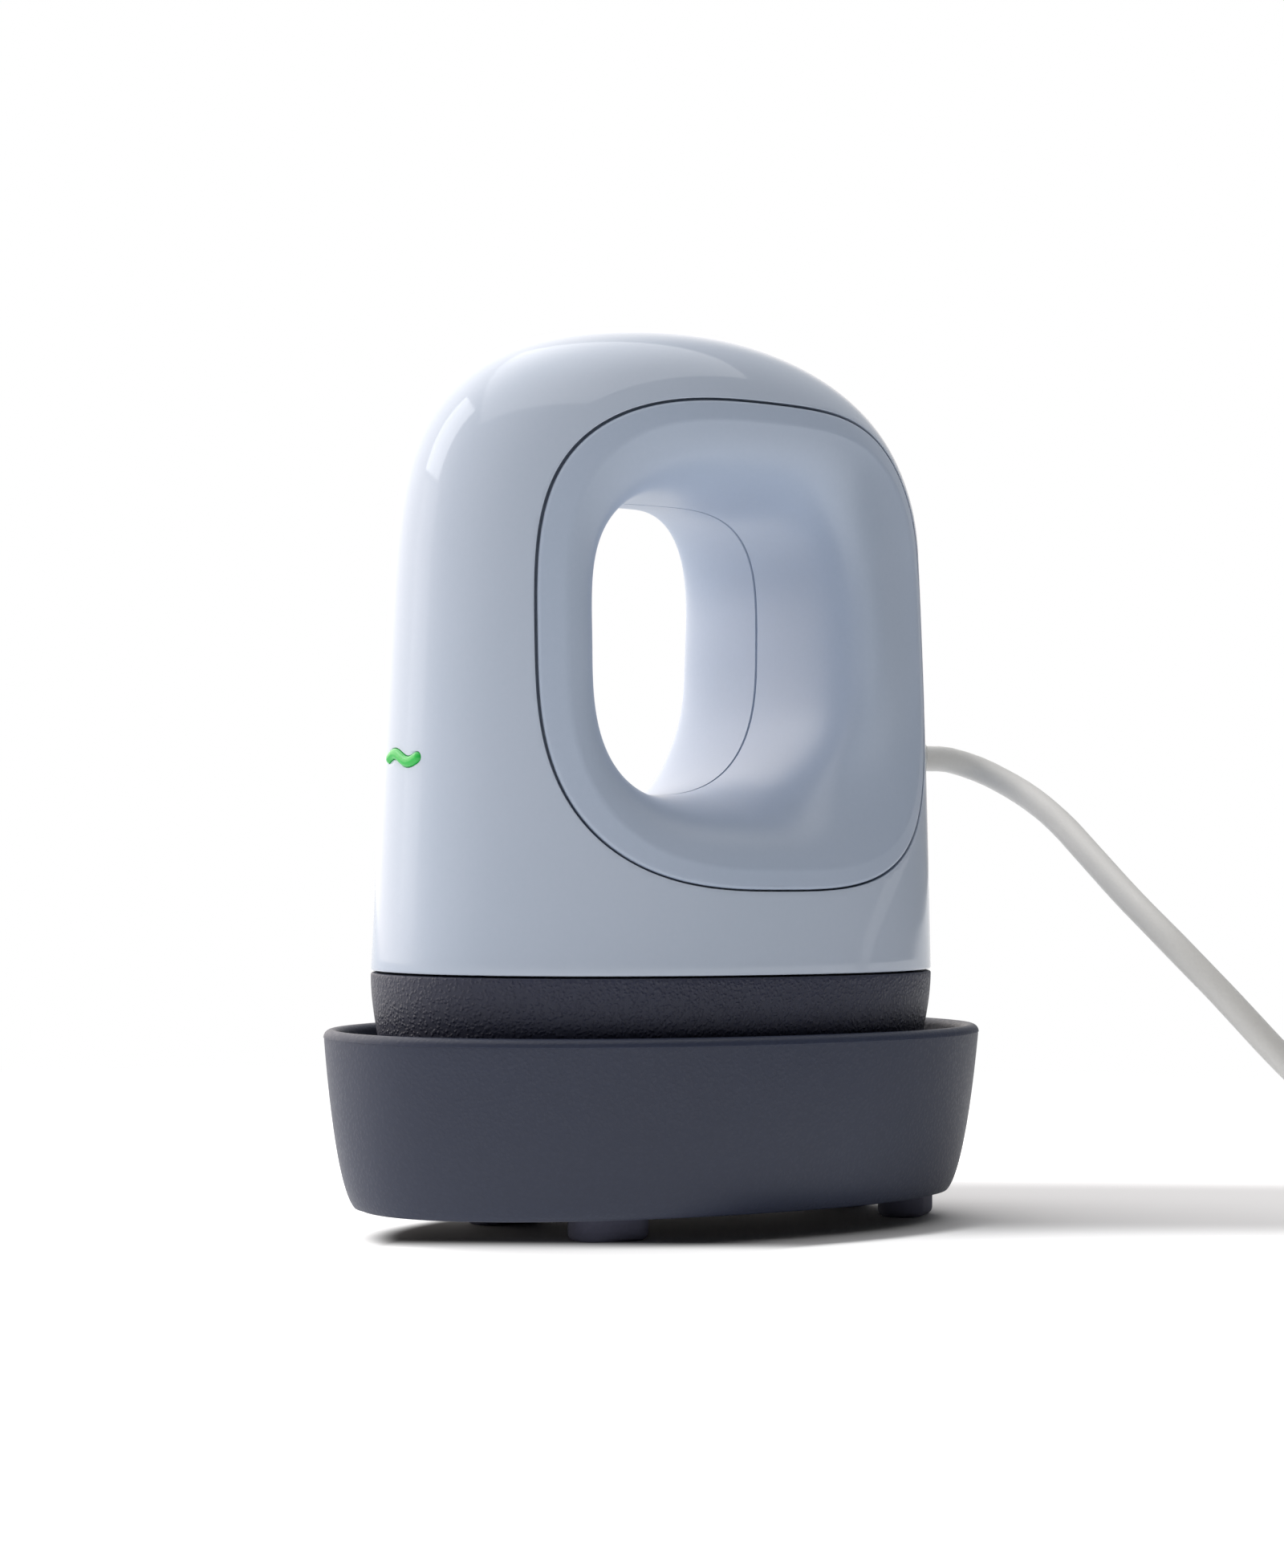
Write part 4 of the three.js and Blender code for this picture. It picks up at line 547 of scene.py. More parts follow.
def strap():
    """The closed strap round the coil's turns, its outer face dipping a little along its middle."""
    angle = HALF_TURN * 1.15
    out = np.array([math.sin(angle), math.cos(angle)])
    from_centre = COIL[:, :2] - (COIL_X, COIL_Y)
    beside = np.abs(from_centre[:, 0] * out[1] - from_centre[:, 1] * out[0]) < STRAP_HALF_WIDTH + 3
    held = (from_centre @ out)[beside & (from_centre @ out > 0)]
    low, high = held.min() - CORD_RADIUS - 0.6, held.max() + CORD_RADIUS + 0.6
    top = COIL_TOP + CORD_RADIUS + 0.3
    bottom = 0.9

    def loop(inset, count=96):
        """The strap's run, sampled evenly round a box with rounded corners."""
        r0, r1, z0, z1 = low - inset, high + inset, bottom - inset, top + inset
        radius = 1.5 + inset
        places = []
        for corner, (r, z, sr, sz) in enumerate(((r1, z1, 1, 1), (r0, z1, -1, 1), (r0, z0, -1, -1),
                                                 (r1, z0, 1, -1))):
            for a in np.linspace(0, HALF_TURN / 2, 13) + corner * HALF_TURN / 2:
                places.append((r + radius * (math.cos(a) - sr), z + radius * (math.sin(a) - sz)))
        places = np.array(places + places[:1])
        run = run_of(places)
        even = np.arange(count) / count * run[-1]
        return np.stack([np.interp(even, run, places[:, 0]), np.interp(even, run, places[:, 1])], -1)

    def ring(inset, y):
        flat = loop(inset)
        return np.stack([COIL_X + flat[:, 0] * out[0] - y * out[1],
                         COIL_Y + flat[:, 0] * out[1] + y * out[0], flat[:, 1]], -1)

    half, thick = STRAP_HALF_WIDTH, STRAP_THICKNESS
    section = [(thick, half - 0.3), (thick, half - 1.0), (thick - 0.12, 0), (thick, 1.0 - half),
               (thick, 0.3 - half), (thick - 0.3, -half), (0.3, -half), (0.05, 0.3 - half),
               (0.05, half - 0.3), (0.3, half), (thick - 0.3, half)]
    return hoop_of("cord_strap", [ring(*place) for place in section], crease=40,
                   along=np.arange(len(section)) / len(section))


plug_piece = plug()
pins = [plug_pin("plug_pin_shown_right", 1), plug_pin("plug_pin_shown_left", -1)]
strap_piece = strap()

# Shell


def window_cutter():
    """The window's form, flared where it meets the dome so that the edge comes out rounded."""
    angle = even_angles(256)
    edge = on_dome(angle, 0)
    outward = unit(on_dome(angle, -0.5) - edge)
    lift = dome_normal(edge[:, 1], edge[:, 2])
    wall = np.array([-1.0, 0, 0])
    round_off = 0.22
    half = []
    for t in (0, 0.25, 0.5, 0.75):
        half.append(edge + round_off * ((1 - t) ** 2 * wall + t * t * outward))
    half.append(edge + round_off * outward + 0.03 * lift)
    half.append(edge + (round_off + 3) * outward + 1.2 * lift)
    far = half[-1].copy()
    far[:, 0] = 45
    half.append(far)
    mirror = np.array([-1.0, 1, 1])
    rings = [ring * mirror for ring in half[::-1]] + half
    return solid_of("window_cutter", rings)


def port_cutter(outline, side, depth, round_off=0.35, rise=0.03):
    """A cutter for a hole in the front, side -1, or the rear, side 1; outline grows by a margin."""
    rings = []
    steps = [(0, depth), (0, round_off)]
    steps += [(round_off * t * t, round_off * (1 - t) ** 2) for t in (0.3, 0.6, 0.8)]
    steps += [(round_off, -rise), (round_off + 1.5, -rise - 0.8)]
    for grow, sunk in steps:
        flat = outline(grow)
        y = dome_end(flat[:, 0], flat[:, 1], side) - side * sunk
        rings.append(np.stack([flat[:, 0], y, flat[:, 1]], -1))
    far = rings[-1].copy()
    far[:, 1] = side * 60
    rings.append(far)
    if side > 0:
        rings = [ring[::-1] for ring in rings]
    return solid_of("port_cutter", rings)


WAVE_X = -0.5  # its middle
WAVE_HALF_LENGTH = 3.95
WAVE_SWING = 0.62
WAVE_STROKE = 1.6


def wave_line(x):
    slope = -WAVE_SWING * HALF_TURN / WAVE_HALF_LENGTH * np.cos(x / WAVE_HALF_LENGTH * HALF_TURN)
    along = unit(np.stack([np.ones_like(x), slope], -1))
    height = LIGHT_HEIGHT - WAVE_SWING * np.sin(x / WAVE_HALF_LENGTH * HALF_TURN)
    return np.stack([x + WAVE_X, height], -1), along


def wave_outline(margin):
    """The light's wave as an outline in x and z, a margin outside its stroke."""
    reach = WAVE_STROKE / 2 + margin
    line, along = wave_line(np.linspace(-WAVE_HALF_LENGTH, WAVE_HALF_LENGTH, 25))
    side = np.stack([-along[:, 1], along[:, 0]], -1)
    cap = np.linspace(0, HALF_TURN, 14)[1:-1, None]
    after = line[-1] + reach * (-side[-1] * np.cos(cap) + along[-1] * np.sin(cap))
    before = line[0] + reach * (side[0] * np.cos(cap) - along[0] * np.sin(cap))
    return np.concatenate([line - reach * side, after, (line + reach * side)[::-1], before])


def disc_outline(height, radius):
    def outline(grow):
        angle = angles(96)
        return np.stack([(radius + grow) * np.cos(angle), height + (radius + grow) * np.sin(angle)], -1)
    return outline


def shell():
    """The domed shell: one closed wall, its window and its three ports."""
    angle = angles(224)
    inside, outside = [], []
    shrink = np.array([(HALF_WIDTH - SHELL_WALL) / HALF_WIDTH, (REAR_REACH - SHELL_WALL) / REAR_REACH,
                       (SHELL_HEIGHT - SHELL_WALL) / SHELL_HEIGHT])
    middle = np.array([0, WIDEST_Y, SEAM])
    for share in np.linspace(0.985, 0.02, 26):
        ring = dome_ring(angle, SEAM + SHELL_HEIGHT * math.sin(share * HALF_TURN / 2))
        inside.append((ring - middle) * shrink + middle)
    inside.append(inset_ring(angle, SHELL_WALL, SEAM + 0.15))
    inside.append(inset_ring(angle, SHELL_WALL - 0.15, SEAM))
    for inset, lift in ((0.45, 0), (0.24, 0.03), (0.1, 0.1), (0.02, 0.24)):
        outside.append(dome_ring(angle, SEAM + lift, inset))
    low = 0.45 / SHELL_HEIGHT
    for share in np.linspace(math.asin(low) * 2 / HALF_TURN, 0.992, 112):
        outside.append(dome_ring(angle, SEAM + SHELL_HEIGHT * math.sin(share * HALF_TURN / 2)))
    piece = solid_of("shell", inside + outside)
    carve(piece, window_cutter())
    carve(piece, port_cutter(lambda grow: wave_outline(grow + 0.06), -1, 4, round_off=0.14))
    carve(piece, port_cutter(disc_outline(BUTTON_HEIGHT, 5.8), 1, 6))
    return carve(piece, port_cutter(disc_outline(CORD_HEIGHT, 4.2), 1, 6))


shell_piece = shell()

# Handle inserts


def handle_insert(name, side):
    """A rim that follows the shell, a full rounded edge, and the wall of the hole to its waist."""
    angle = even_angles(224)
    c, s = np.cos(angle), np.sin(angle)
    ahead = c < 0

    def spread(front, rear, upright):
        return (np.where(ahead, front, rear) * c * c + upright * s * s)[:, None]

    flange = spread(4.0, 2.6, 3.3)[:, 0]

    def rim(inset):
        return on_dome(angle, inset)

    def waist_at(x, grow=0.0):
        y, z = waist_loop(angle, grow)
        return np.stack([np.full_like(y, x), y, z], -1)

    edge = rim(GROOVE)
    lift = dome_normal(edge[:, 1], edge[:, 2])
    inner = unit(rim(GROOVE + 0.5) - edge)
    soften = 0.58
    rings = [edge - 3.6 * lift, edge - 3.0 * lift - 1.4 * inner, edge - 2.65 * lift - 1.4 * inner,
             edge - 2.45 * lift, edge - 0.8 * lift]
    for t in (0, 0.25, 0.5, 0.75, 1):
        rings.append(edge + soften * (t * t * inner - (1 - t) ** 2 * lift))
    for share in np.linspace(0.18, 1, 7):
        rings.append(rim(mix(GROOVE, flange, share)))
    crest = rim(flange)
    inward = unit(crest - rim(flange - 1)) - (0.4, 0, 0)
    corner = 4 * c * c * s * s * np.where(ahead, np.where(s > 0, 1.2, 0), np.where(s > 0, 3.3, 6))
    waist = waist_at(0.15)
    handles = (crest, crest + inward * (spread(9.1, 17.1, 3.3) + corner[:, None]),
               waist + spread(13.8, 33.5, 26.9) * np.array([1.0, 0, 0]), waist)
    for t in np.linspace(0, 1, 39)[1:]:
        rings.append(bezier(t, *handles))
    rings[-1] = rings[-1] + np.array([0.12, 0, 0])
    rings += [waist_at(0.12, 0.35), waist_at(0.15, 1.8)]
    shown = np.array(rings[10:-2])
    around = np.roll(shown, -1, axis=1) - np.roll(shown, 1, axis=1)
    normal = unit(np.cross(around, np.gradient(shown, axis=0)))
    back = (shown - 1.8 * normal)[1:-1:4]
    rings += list(back[::-1])
    rings = np.array(rings)
    if side < 0:
        rings = rings * (-1.0, 1, 1)
    return hoop_of(name, rings, crease=50)


inserts = [handle_insert("handle_rim_right", 1), handle_insert("handle_rim_left", -1)]

# Skirt


def skirt_inset(z):
    return 3.7 * (1 - math.exp(-(((SKIRT_TOP - z) / 16) ** 2)))


def skirt():
    """The skirt below the shell, drawn in to its bottom edge, with the spigot and its two ledges."""
    angle = angles(208)
    low, high = skirt_inset(SKIRT_BOTTOM), 2.8
    outside = [(low + 0.9, SKIRT_BOTTOM, 0.12)]
    for t in np.linspace(0, 1, 6):
        outside.append((low + 0.6 * (1 - t) ** 2, SKIRT_BOTTOM + 0.6 * t * t, 0))
    for z in np.linspace(SKIRT_BOTTOM + 1.4, SKIRT_TOP - 0.9, 26):
        outside.append((skirt_inset(z), z, 0))
    for t in np.linspace(0, 1, 5):
        outside.append((0.4 * t * t, SKIRT_TOP - 0.4 * (1 - t) ** 2, 0))
    wall = 2.0

    def inside(z, radius=0.0):
        return skirt_inset(z) + wall, z, radius

    hidden = [
        (high, SKIRT_TOP, 0.3), (high, SKIRT_TOP + 3.5, 0.3), (high + 1.8, SKIRT_TOP + 3.5, 0.3),
        (high + 1.8, SKIRT_TOP - 1.5, 0.3), inside(36.2), inside(33.2, 0.2),
        (inside(33.2)[0] + 2.2, 33.2, 0.2), (inside(33.2)[0] + 2.2, 31.2, 0.2), inside(29.7, 0.2),
        inside(18.3, 0.2), (8.4, 18.3, 0.2), (8.4, 16.5, 0.2), inside(16.5, 0.2), inside(SKIRT_BOTTOM, 0.2),
    ]
    profile = rounded_profile(outside + hidden)
    return hoop_of("skirt_cover", [inset_ring(angle, inset, z) for inset, z in profile])


skirt_piece = skirt()

# Tray, liner and feet

TRAY_TOP = 31.6
TRAY_HEIGHT = 27.6
TRAY_WALL = 2.4


def tray_ring(angle, depth_share, inward, lift=0.0):
    """A ring of the tray's wall, from its rim, share 0, to its bottom, share 1."""
    depth = bezier(depth_share, 0, 0.62, 0.98, 1)
    share = bezier(depth_share, 0, 0.25, 0.6, 1)
    return oval(angle, 35.4 - 7.8 * share - inward, FRONT_REACH + 7.7 - 5.1 * share - inward,
                REAR_REACH + 9 - 4.2 * share - inward, WIDEST_Y, (FRONT_POWER, REAR_POWER),
                TRAY_TOP - TRAY_HEIGHT * depth + lift)


def level_ring(angle, inset, z):
    """A level ring inside the tray's wall at its bottom."""
    ring = tray_ring(angle, 1, TRAY_WALL + inset)
    ring[:, 2] = z
    return ring


def tray():
    """The open tray: a bellied wall with a soft rim, and a floor inside it."""
    angle = angles(208)
    rings = [tray_ring(angle, 1, inset) for inset in (6, 1.5, 0.9)]
    rings += [tray_ring(angle, 1, 0.9 * (1 - t) ** 2, 0.9 * t * t) for t in (0.25, 0.5, 0.75)]
    rings += [tray_ring(angle, share, 0) for share in np.linspace(0.9, 0.047, 26)]
    rings.append(tray_ring(angle, 0.02, 0.1, -0.88))
    lip = TRAY_WALL / 2
    for turn in np.linspace(0, HALF_TURN, 15):
        inset = lip - lip * math.cos(turn)
        rings.append(tray_ring(angle, 0.02, inset, 1.2 * math.sin(turn) - 0.8))
    rings += [tray_ring(angle, share, TRAY_WALL) for share in np.linspace(0.05, 0.7, 16)]
    floor = 6.4
    for inset, z in ((0, floor + 1.2), (0.1, floor + 0.7), (0.35, floor + 0.35), (0.7, floor + 0.1),
                     (1.2, floor), (6, floor)):
        rings.append(level_ring(angle, inset, z))
    return solid_of("tray", rings)


def liner():
    """The heat-resistant pad on the tray's floor, soft at its top edge."""
    angle = angles(160)
    profile = ((8, 6.6), (0.3, 6.6), (0.08, 6.7), (0, 7.0), (0, 8.7), (0.12, 9.2), (0.4, 9.55), (0.9, 9.7),
               (8, 9.7))
    return solid_of("tray_pad", [level_ring(angle, 3.2 + inset, z) for inset, z in profile])


FOOT_SIZE = (7.5, 12.4, 3.8)
FOOT_PLACES = {"front": (14.2, -18.2, 0.12), "rear": (9.3, 43.6, -0.65)}  # place and turn from y


def foot(name, side, x, y, turn):
    """A rubber foot in from the tray's edge: a block with full corners and a softened sole."""
    piece = made(name, bpy.ops.mesh.primitive_cube_add, size=1)
    put_points(piece, points_of(piece) * FOOT_SIZE + (0, 0, FOOT_SIZE[2] / 2))
    round_edges(piece, lambda a, b: abs(a.z - b.z) > 2 * MM, 3.4, 10)
    round_edges(piece, lambda a, b: a.z < 0.1 * MM and b.z < 0.1 * MM, 1.1, 5)
    across, along, up = (points_of(piece) / MM).T
    c, s = math.cos(turn), math.sin(turn)
    put_points(piece, np.stack([side * (x + across * c + along * s), y - across * s + along * c, up], -1))
    return tidy_mesh(piece)


def round_edges(piece, wanted, offset, segments):
    """Bevels only the wanted edges of a mesh."""
    activate(piece)
    bpy.ops.object.mode_set(mode="EDIT")
    bpy.ops.mesh.select_mode(type="EDGE")
    bpy.ops.mesh.select_all(action="DESELECT")
    bpy.ops.object.mode_set(mode="OBJECT")
    points = piece.data.vertices
    for edge in piece.data.edges:
        a, b = (points[i].co for i in edge.vertices)
        edge.select = bool(wanted(a, b))
    bpy.ops.object.mode_set(mode="EDIT")
    bpy.ops.mesh.bevel(offset=offset * MM, segments=segments, affect="EDGES")
    bpy.ops.object.mode_set(mode="OBJECT")


tray_piece = tray()
liner_piece = liner()
feet = {f"foot_{end}_{hand}": foot(f"rubber_foot_{end}_{hand}", side, *place)
        for end, place in FOOT_PLACES.items() for hand, side in (("right", 1), ("left", -1))}

# Light, button and boot


def lens():
    """The light's lens: a wave-shaped bead that stands a little proud of its slot."""
    reach = WAVE_STROKE / 2
    ends = [(math.sin(turn) * reach, math.cos(turn)) for turn in np.linspace(0, HALF_TURN / 2, 8)[:-1]]
    stations = [(-WAVE_HALF_LENGTH, -ahead, size) for ahead, size in ends[::-1]]
    stations += [(x, 0.0, 1.0) for x in np.linspace(-WAVE_HALF_LENGTH, WAVE_HALF_LENGTH, 33)[1:-1]]
    stations += [(WAVE_HALF_LENGTH, ahead, size) for ahead, size in ends]
    angle = angles(24)
    rings = []
    for x, ahead, size in stations:
        (place,), (along,) = wave_line(np.array([x]))
        side = np.array([-along[1], along[0]])
        flat = place + along * ahead + reach * size * np.cos(angle)[:, None] * side
        rise = np.where(np.sin(angle) > 0, 0.5 * size * np.sin(angle), 2.6 * size * np.sin(angle))
        y = dome_end(flat[:, 0], flat[:, 1], -1) - rise
        rings.append(np.stack([flat[:, 0], y, flat[:, 1]], -1))
    return solid_of("light_wave", rings, crease=60)


def button():
    """The power button: a cap with a soft edge, a shallow finger dish and a retaining flange."""
    face = float(rear_edge(BUTTON_HEIGHT - SEAM)) + 0.7
    back = 43.1
    profile = [(0.35, back - 1.0), (6.4, back - 1.0), (6.6, back - 0.8), (6.6, back - 0.2), (6.4, back),
               (5.5, back)]
    profile += [(5.5 - 0.7 * t * t, face - 0.7 * (1 - t) ** 2) for t in np.linspace(0, 1, 6)]
    profile += [(r, face - 0.45 * smooth((4.4 - r) / 3.2)) for r in np.linspace(4.5, 0.35, 12)]
    piece = spun("button_cap", profile, BUTTON_HEIGHT, sides=96)
    for point in piece.data.vertices:
        if math.hypot(point.co.x, point.co.z - BUTTON_HEIGHT * MM) < 0.36 * MM:
            point.co.x, point.co.z = 0, BUTTON_HEIGHT * MM
    return tidy_mesh(piece, merge=0.002)


def cord_boot():
    """The strain relief: a tapered tail inside, a flange, and a ribbed collar outside."""
    wall = float(rear_edge(CORD_HEIGHT - SEAM))
    inside_face = 43.7
    mouth = wall + 6.7
    bore = 2.2
    profile = [(bore, mouth - 0.1), (bore, inside_face - 10.2), (2.9, inside_face - 10.2),
               (3.6, inside_face - 1.3), (5.2, inside_face - 1.2), (5.4, inside_face - 1.0),
               (5.4, inside_face - 0.2), (5.2, inside_face), (4.0, inside_face), (4.0, wall + 0.2)]
    for k in range(3):
        y = wall + 0.5 + 1.75 * k
        radius = 3.95 - 0.22 * k
        profile += [(radius - 0.12, y - 0.05), (radius, y + 0.1), (radius, y + 0.95),
                    (radius - 0.12, y + 1.1), (radius - 0.6, y + 1.2), (radius - 0.6, y + 1.6)]
    profile += [(3.2, wall + 5.8), (3.3, wall + 5.95), (3.2, mouth - 0.3), (2.9, mouth), (2.4, mouth)]
    return spun("cord_boot", profile, CORD_HEIGHT, sides=72)


lens_piece = lens()
button_piece = button()
boot_piece = cord_boot()

# Finishes


def rgb(code):
    """A colour from its hex code, as linear light."""
    parts = [int(code[k:k + 2], 16) / 255 for k in (1, 3, 5)]
    return tuple(p / 12.92 if p <= 0.04045 else ((p + 0.055) / 1.055) ** 2.4 for p in parts) + (1.0,)


def place_node(tree, kind, inputs=None, **settings):
    """Adds a node, sets what it is given, and links the inputs that are given a socket."""
    node = tree.nodes.new(kind)
    for key, value in settings.items():
        setattr(node, key, value)
    for key, value in (inputs or {}).items():
        if isinstance(value, bpy.types.NodeSocket):
            tree.links.new(value, node.inputs[key])
        else:
            node.inputs[key].default_value = value
    return node


def effect(name, inputs, outputs):
    """An empty shader node group with named sockets; returns it with its ends."""
    tree = bpy.data.node_groups.new(name, "ShaderNodeTree")
    for label, kind, value in inputs:
        tree.interface.new_socket(name=label, in_out="INPUT", socket_type=kind).default_value = value
    for label, kind in outputs:
        tree.interface.new_socket(name=label, in_out="OUTPUT", socket_type=kind)
    return tree, tree.nodes.new("NodeGroupInput").outputs, tree.nodes.new("NodeGroupOutput").inputs


def sums(tree, operation, *values):
    return place_node(tree, "ShaderNodeMath", dict(enumerate(values)), operation=operation).outputs[0]


def vector_sums(tree, operation, *values, result=0, **named):
    return place_node(tree, "ShaderNodeVectorMath", {**dict(enumerate(values)), **named},
                      operation=operation).outputs[result]


def ramp(tree, value, start, end, first=0.0, last=1.0):
    """Runs smoothly from a first to a last value between two limits."""
    return place_node(tree, "ShaderNodeMapRange", {"Value": value, "From Min": start, "From Max": end,
                                                   "To Min": first, "To Max": last},
                      interpolation_type="SMOOTHSTEP").outputs[0]


def noise(tree, place, scale, detail, roughness=0.5):
    return place_node(tree, "ShaderNodeTexNoise", {"Vector": place, "Scale": scale, "Detail": detail,
                                                   "Roughness": roughness}).outputs


def mixed(tree, share, first, second):
    return place_node(tree, "ShaderNodeMix", {0: share, 2: first, 3: second}, data_type="FLOAT").outputs[0]


def mixed_colour(tree, share, first, second):
    return place_node(tree, "ShaderNodeMix", {0: share, 6: first, 7: second}, data_type="RGBA").outputs[2]


FLOAT, COLOUR = "NodeSocketFloat", "NodeSocketColor"


def make_mould_grain():
    """Moulded grain: rounded cells pulled about by a wave of noise, over a finer tooth."""
    tree, given, result = effect(
        "Mould grain",
        [("Scale", FLOAT, 1000), ("Pull", FLOAT, 0.3), ("Tooth", FLOAT, 0.3)],
        [("Height", FLOAT)])
    place = place_node(tree, "ShaderNodeTexCoord").outputs["Object"]
    wave = noise(tree, place, given["Scale"], 2.0)["Color"]
    shifted = vector_sums(tree, "SUBTRACT", wave, (0.5, 0.5, 0.5))
    reach = sums(tree, "DIVIDE", given["Pull"], given["Scale"])
    moved = vector_sums(tree, "ADD", place, vector_sums(tree, "SCALE", shifted, Scale=reach))
    cells = place_node(tree, "ShaderNodeTexVoronoi",
                       {"Vector": moved, "Scale": given["Scale"], "Smoothness": 0.6}, feature="SMOOTH_F1")
    dome = ramp(tree, cells.outputs["Distance"], 0.1, 0.62, 1.0, 0.0)
    fine = noise(tree, place, sums(tree, "MULTIPLY", given["Scale"], 3.7), 3.0, 0.6)["Fac"]
    tree.links.new(mixed(tree, given["Tooth"], dome, fine), result["Height"])
    return tree


def make_colour_drift():
    """Two near colours that drift into each other over the piece, with a light speckle."""
    tree, given, result = effect(
        "Colour drift",
        [("Main", COLOUR, (0.8, 0.8, 0.8, 1)), ("Second", COLOUR, (0.7, 0.7, 0.7, 1)),
         ("Scale", FLOAT, 20), ("Speckle", FLOAT, 0.2), ("Speckle scale", FLOAT, 1500)],
        [("Color", COLOUR)])
    place = place_node(tree, "ShaderNodeTexCoord").outputs["Object"]
    broad = noise(tree, place, given["Scale"], 3.0)["Fac"]
    spots = noise(tree, place, given["Speckle scale"], 2.0)["Fac"]
    spread = ramp(tree, mixed(tree, given["Speckle"], broad, spots), 0.32, 0.68)
    tree.links.new(mixed_colour(tree, spread, given["Main"], given["Second"]), result["Color"])
    return tree


def make_drawn_lines():
    """Fine lines drawn out along one direction, as on rolled, brushed or turned metal."""
    tree, given, result = effect(
        "Drawn lines",
        [("Across", "NodeSocketVector", (4000, 60, 4000))],
        [("Height", FLOAT)])
    place = place_node(tree, "ShaderNodeTexCoord").outputs["Object"]
    scaled = vector_sums(tree, "MULTIPLY", place, given["Across"])
    tree.links.new(noise(tree, scaled, 1.0, 3.0)["Fac"], result["Height"])
    return tree


def make_weave():
    """Crossed threads on the piece's own map: over and under, with rounded yarns."""
    tree, given, result = effect(
        "Weave",
        [("Across", FLOAT, 20), ("Along", FLOAT, 60)],
        [("Height", FLOAT)])
    place = place_node(tree, "ShaderNodeTexCoord").outputs["UV"]
    parts = place_node(tree, "ShaderNodeSeparateXYZ", {0: place})
    waves = []
    for axis, count in ((0, "Across"), (1, "Along")):
        run = sums(tree, "MULTIPLY", parts.outputs[axis], given[count])
        waves.append(sums(tree, "SINE", sums(tree, "MULTIPLY", run, TURN)))
    lifted = place_node(tree, "ShaderNodeMapRange", {"Value": sums(tree, "MULTIPLY", *waves),
                                                     "From Min": -1.0, "From Max": 1.0})
    tree.links.new(lifted.outputs[0], result["Height"])
    return tree


MOULD_GRAIN = make_mould_grain()
COLOUR_DRIFT = make_colour_drift()
DRAWN_LINES = make_drawn_lines()
WEAVE = make_weave()


def use(tree, node_tree, inputs):
    return place_node(tree, "ShaderNodeGroup", inputs, node_tree=node_tree).outputs


def finish(name, main, second, grain=None, depth=0.02, rough=(0.5, 0.6), drift=(25, 0.3, 1500),
           lines=None, weave=None, **shader):
    """A finish: drifting colour, a grain, lines or weave for its bump, and roughness that follows it."""
    material = bpy.data.materials.new(name)
    material.use_nodes = True
    tree = material.node_tree
    surface = tree.nodes["Principled BSDF"]
    colour = use(tree, COLOUR_DRIFT, {"Main": rgb(main), "Second": rgb(second), "Scale": drift[0],
                                      "Speckle": drift[1], "Speckle scale": drift[2]})
    if weave:
        relief = use(tree, WEAVE, {"Across": weave[0], "Along": weave[1]})
    elif lines:
        relief = use(tree, DRAWN_LINES, {"Across": lines})
    else:
        relief = use(tree, MOULD_GRAIN, {"Scale": grain[0], "Pull": grain[1], "Tooth": grain[2]})
    height = relief["Height"]
    bump = place_node(tree, "ShaderNodeBump", {"Height": height, "Strength": 1.0, "Distance": depth * MM})
    roughness = place_node(tree, "ShaderNodeMapRange", {"Value": height, "To Min": rough[1],
                                                        "To Max": rough[0]})
    tree.links.new(colour["Color"], surface.inputs["Base Color"])
    tree.links.new(roughness.outputs[0], surface.inputs["Roughness"])
    tree.links.new(bump.outputs[0], surface.inputs["Normal"])
    for label, value in shader.items():
        surface.inputs[label.replace("_", " ")].default_value = value
    return material


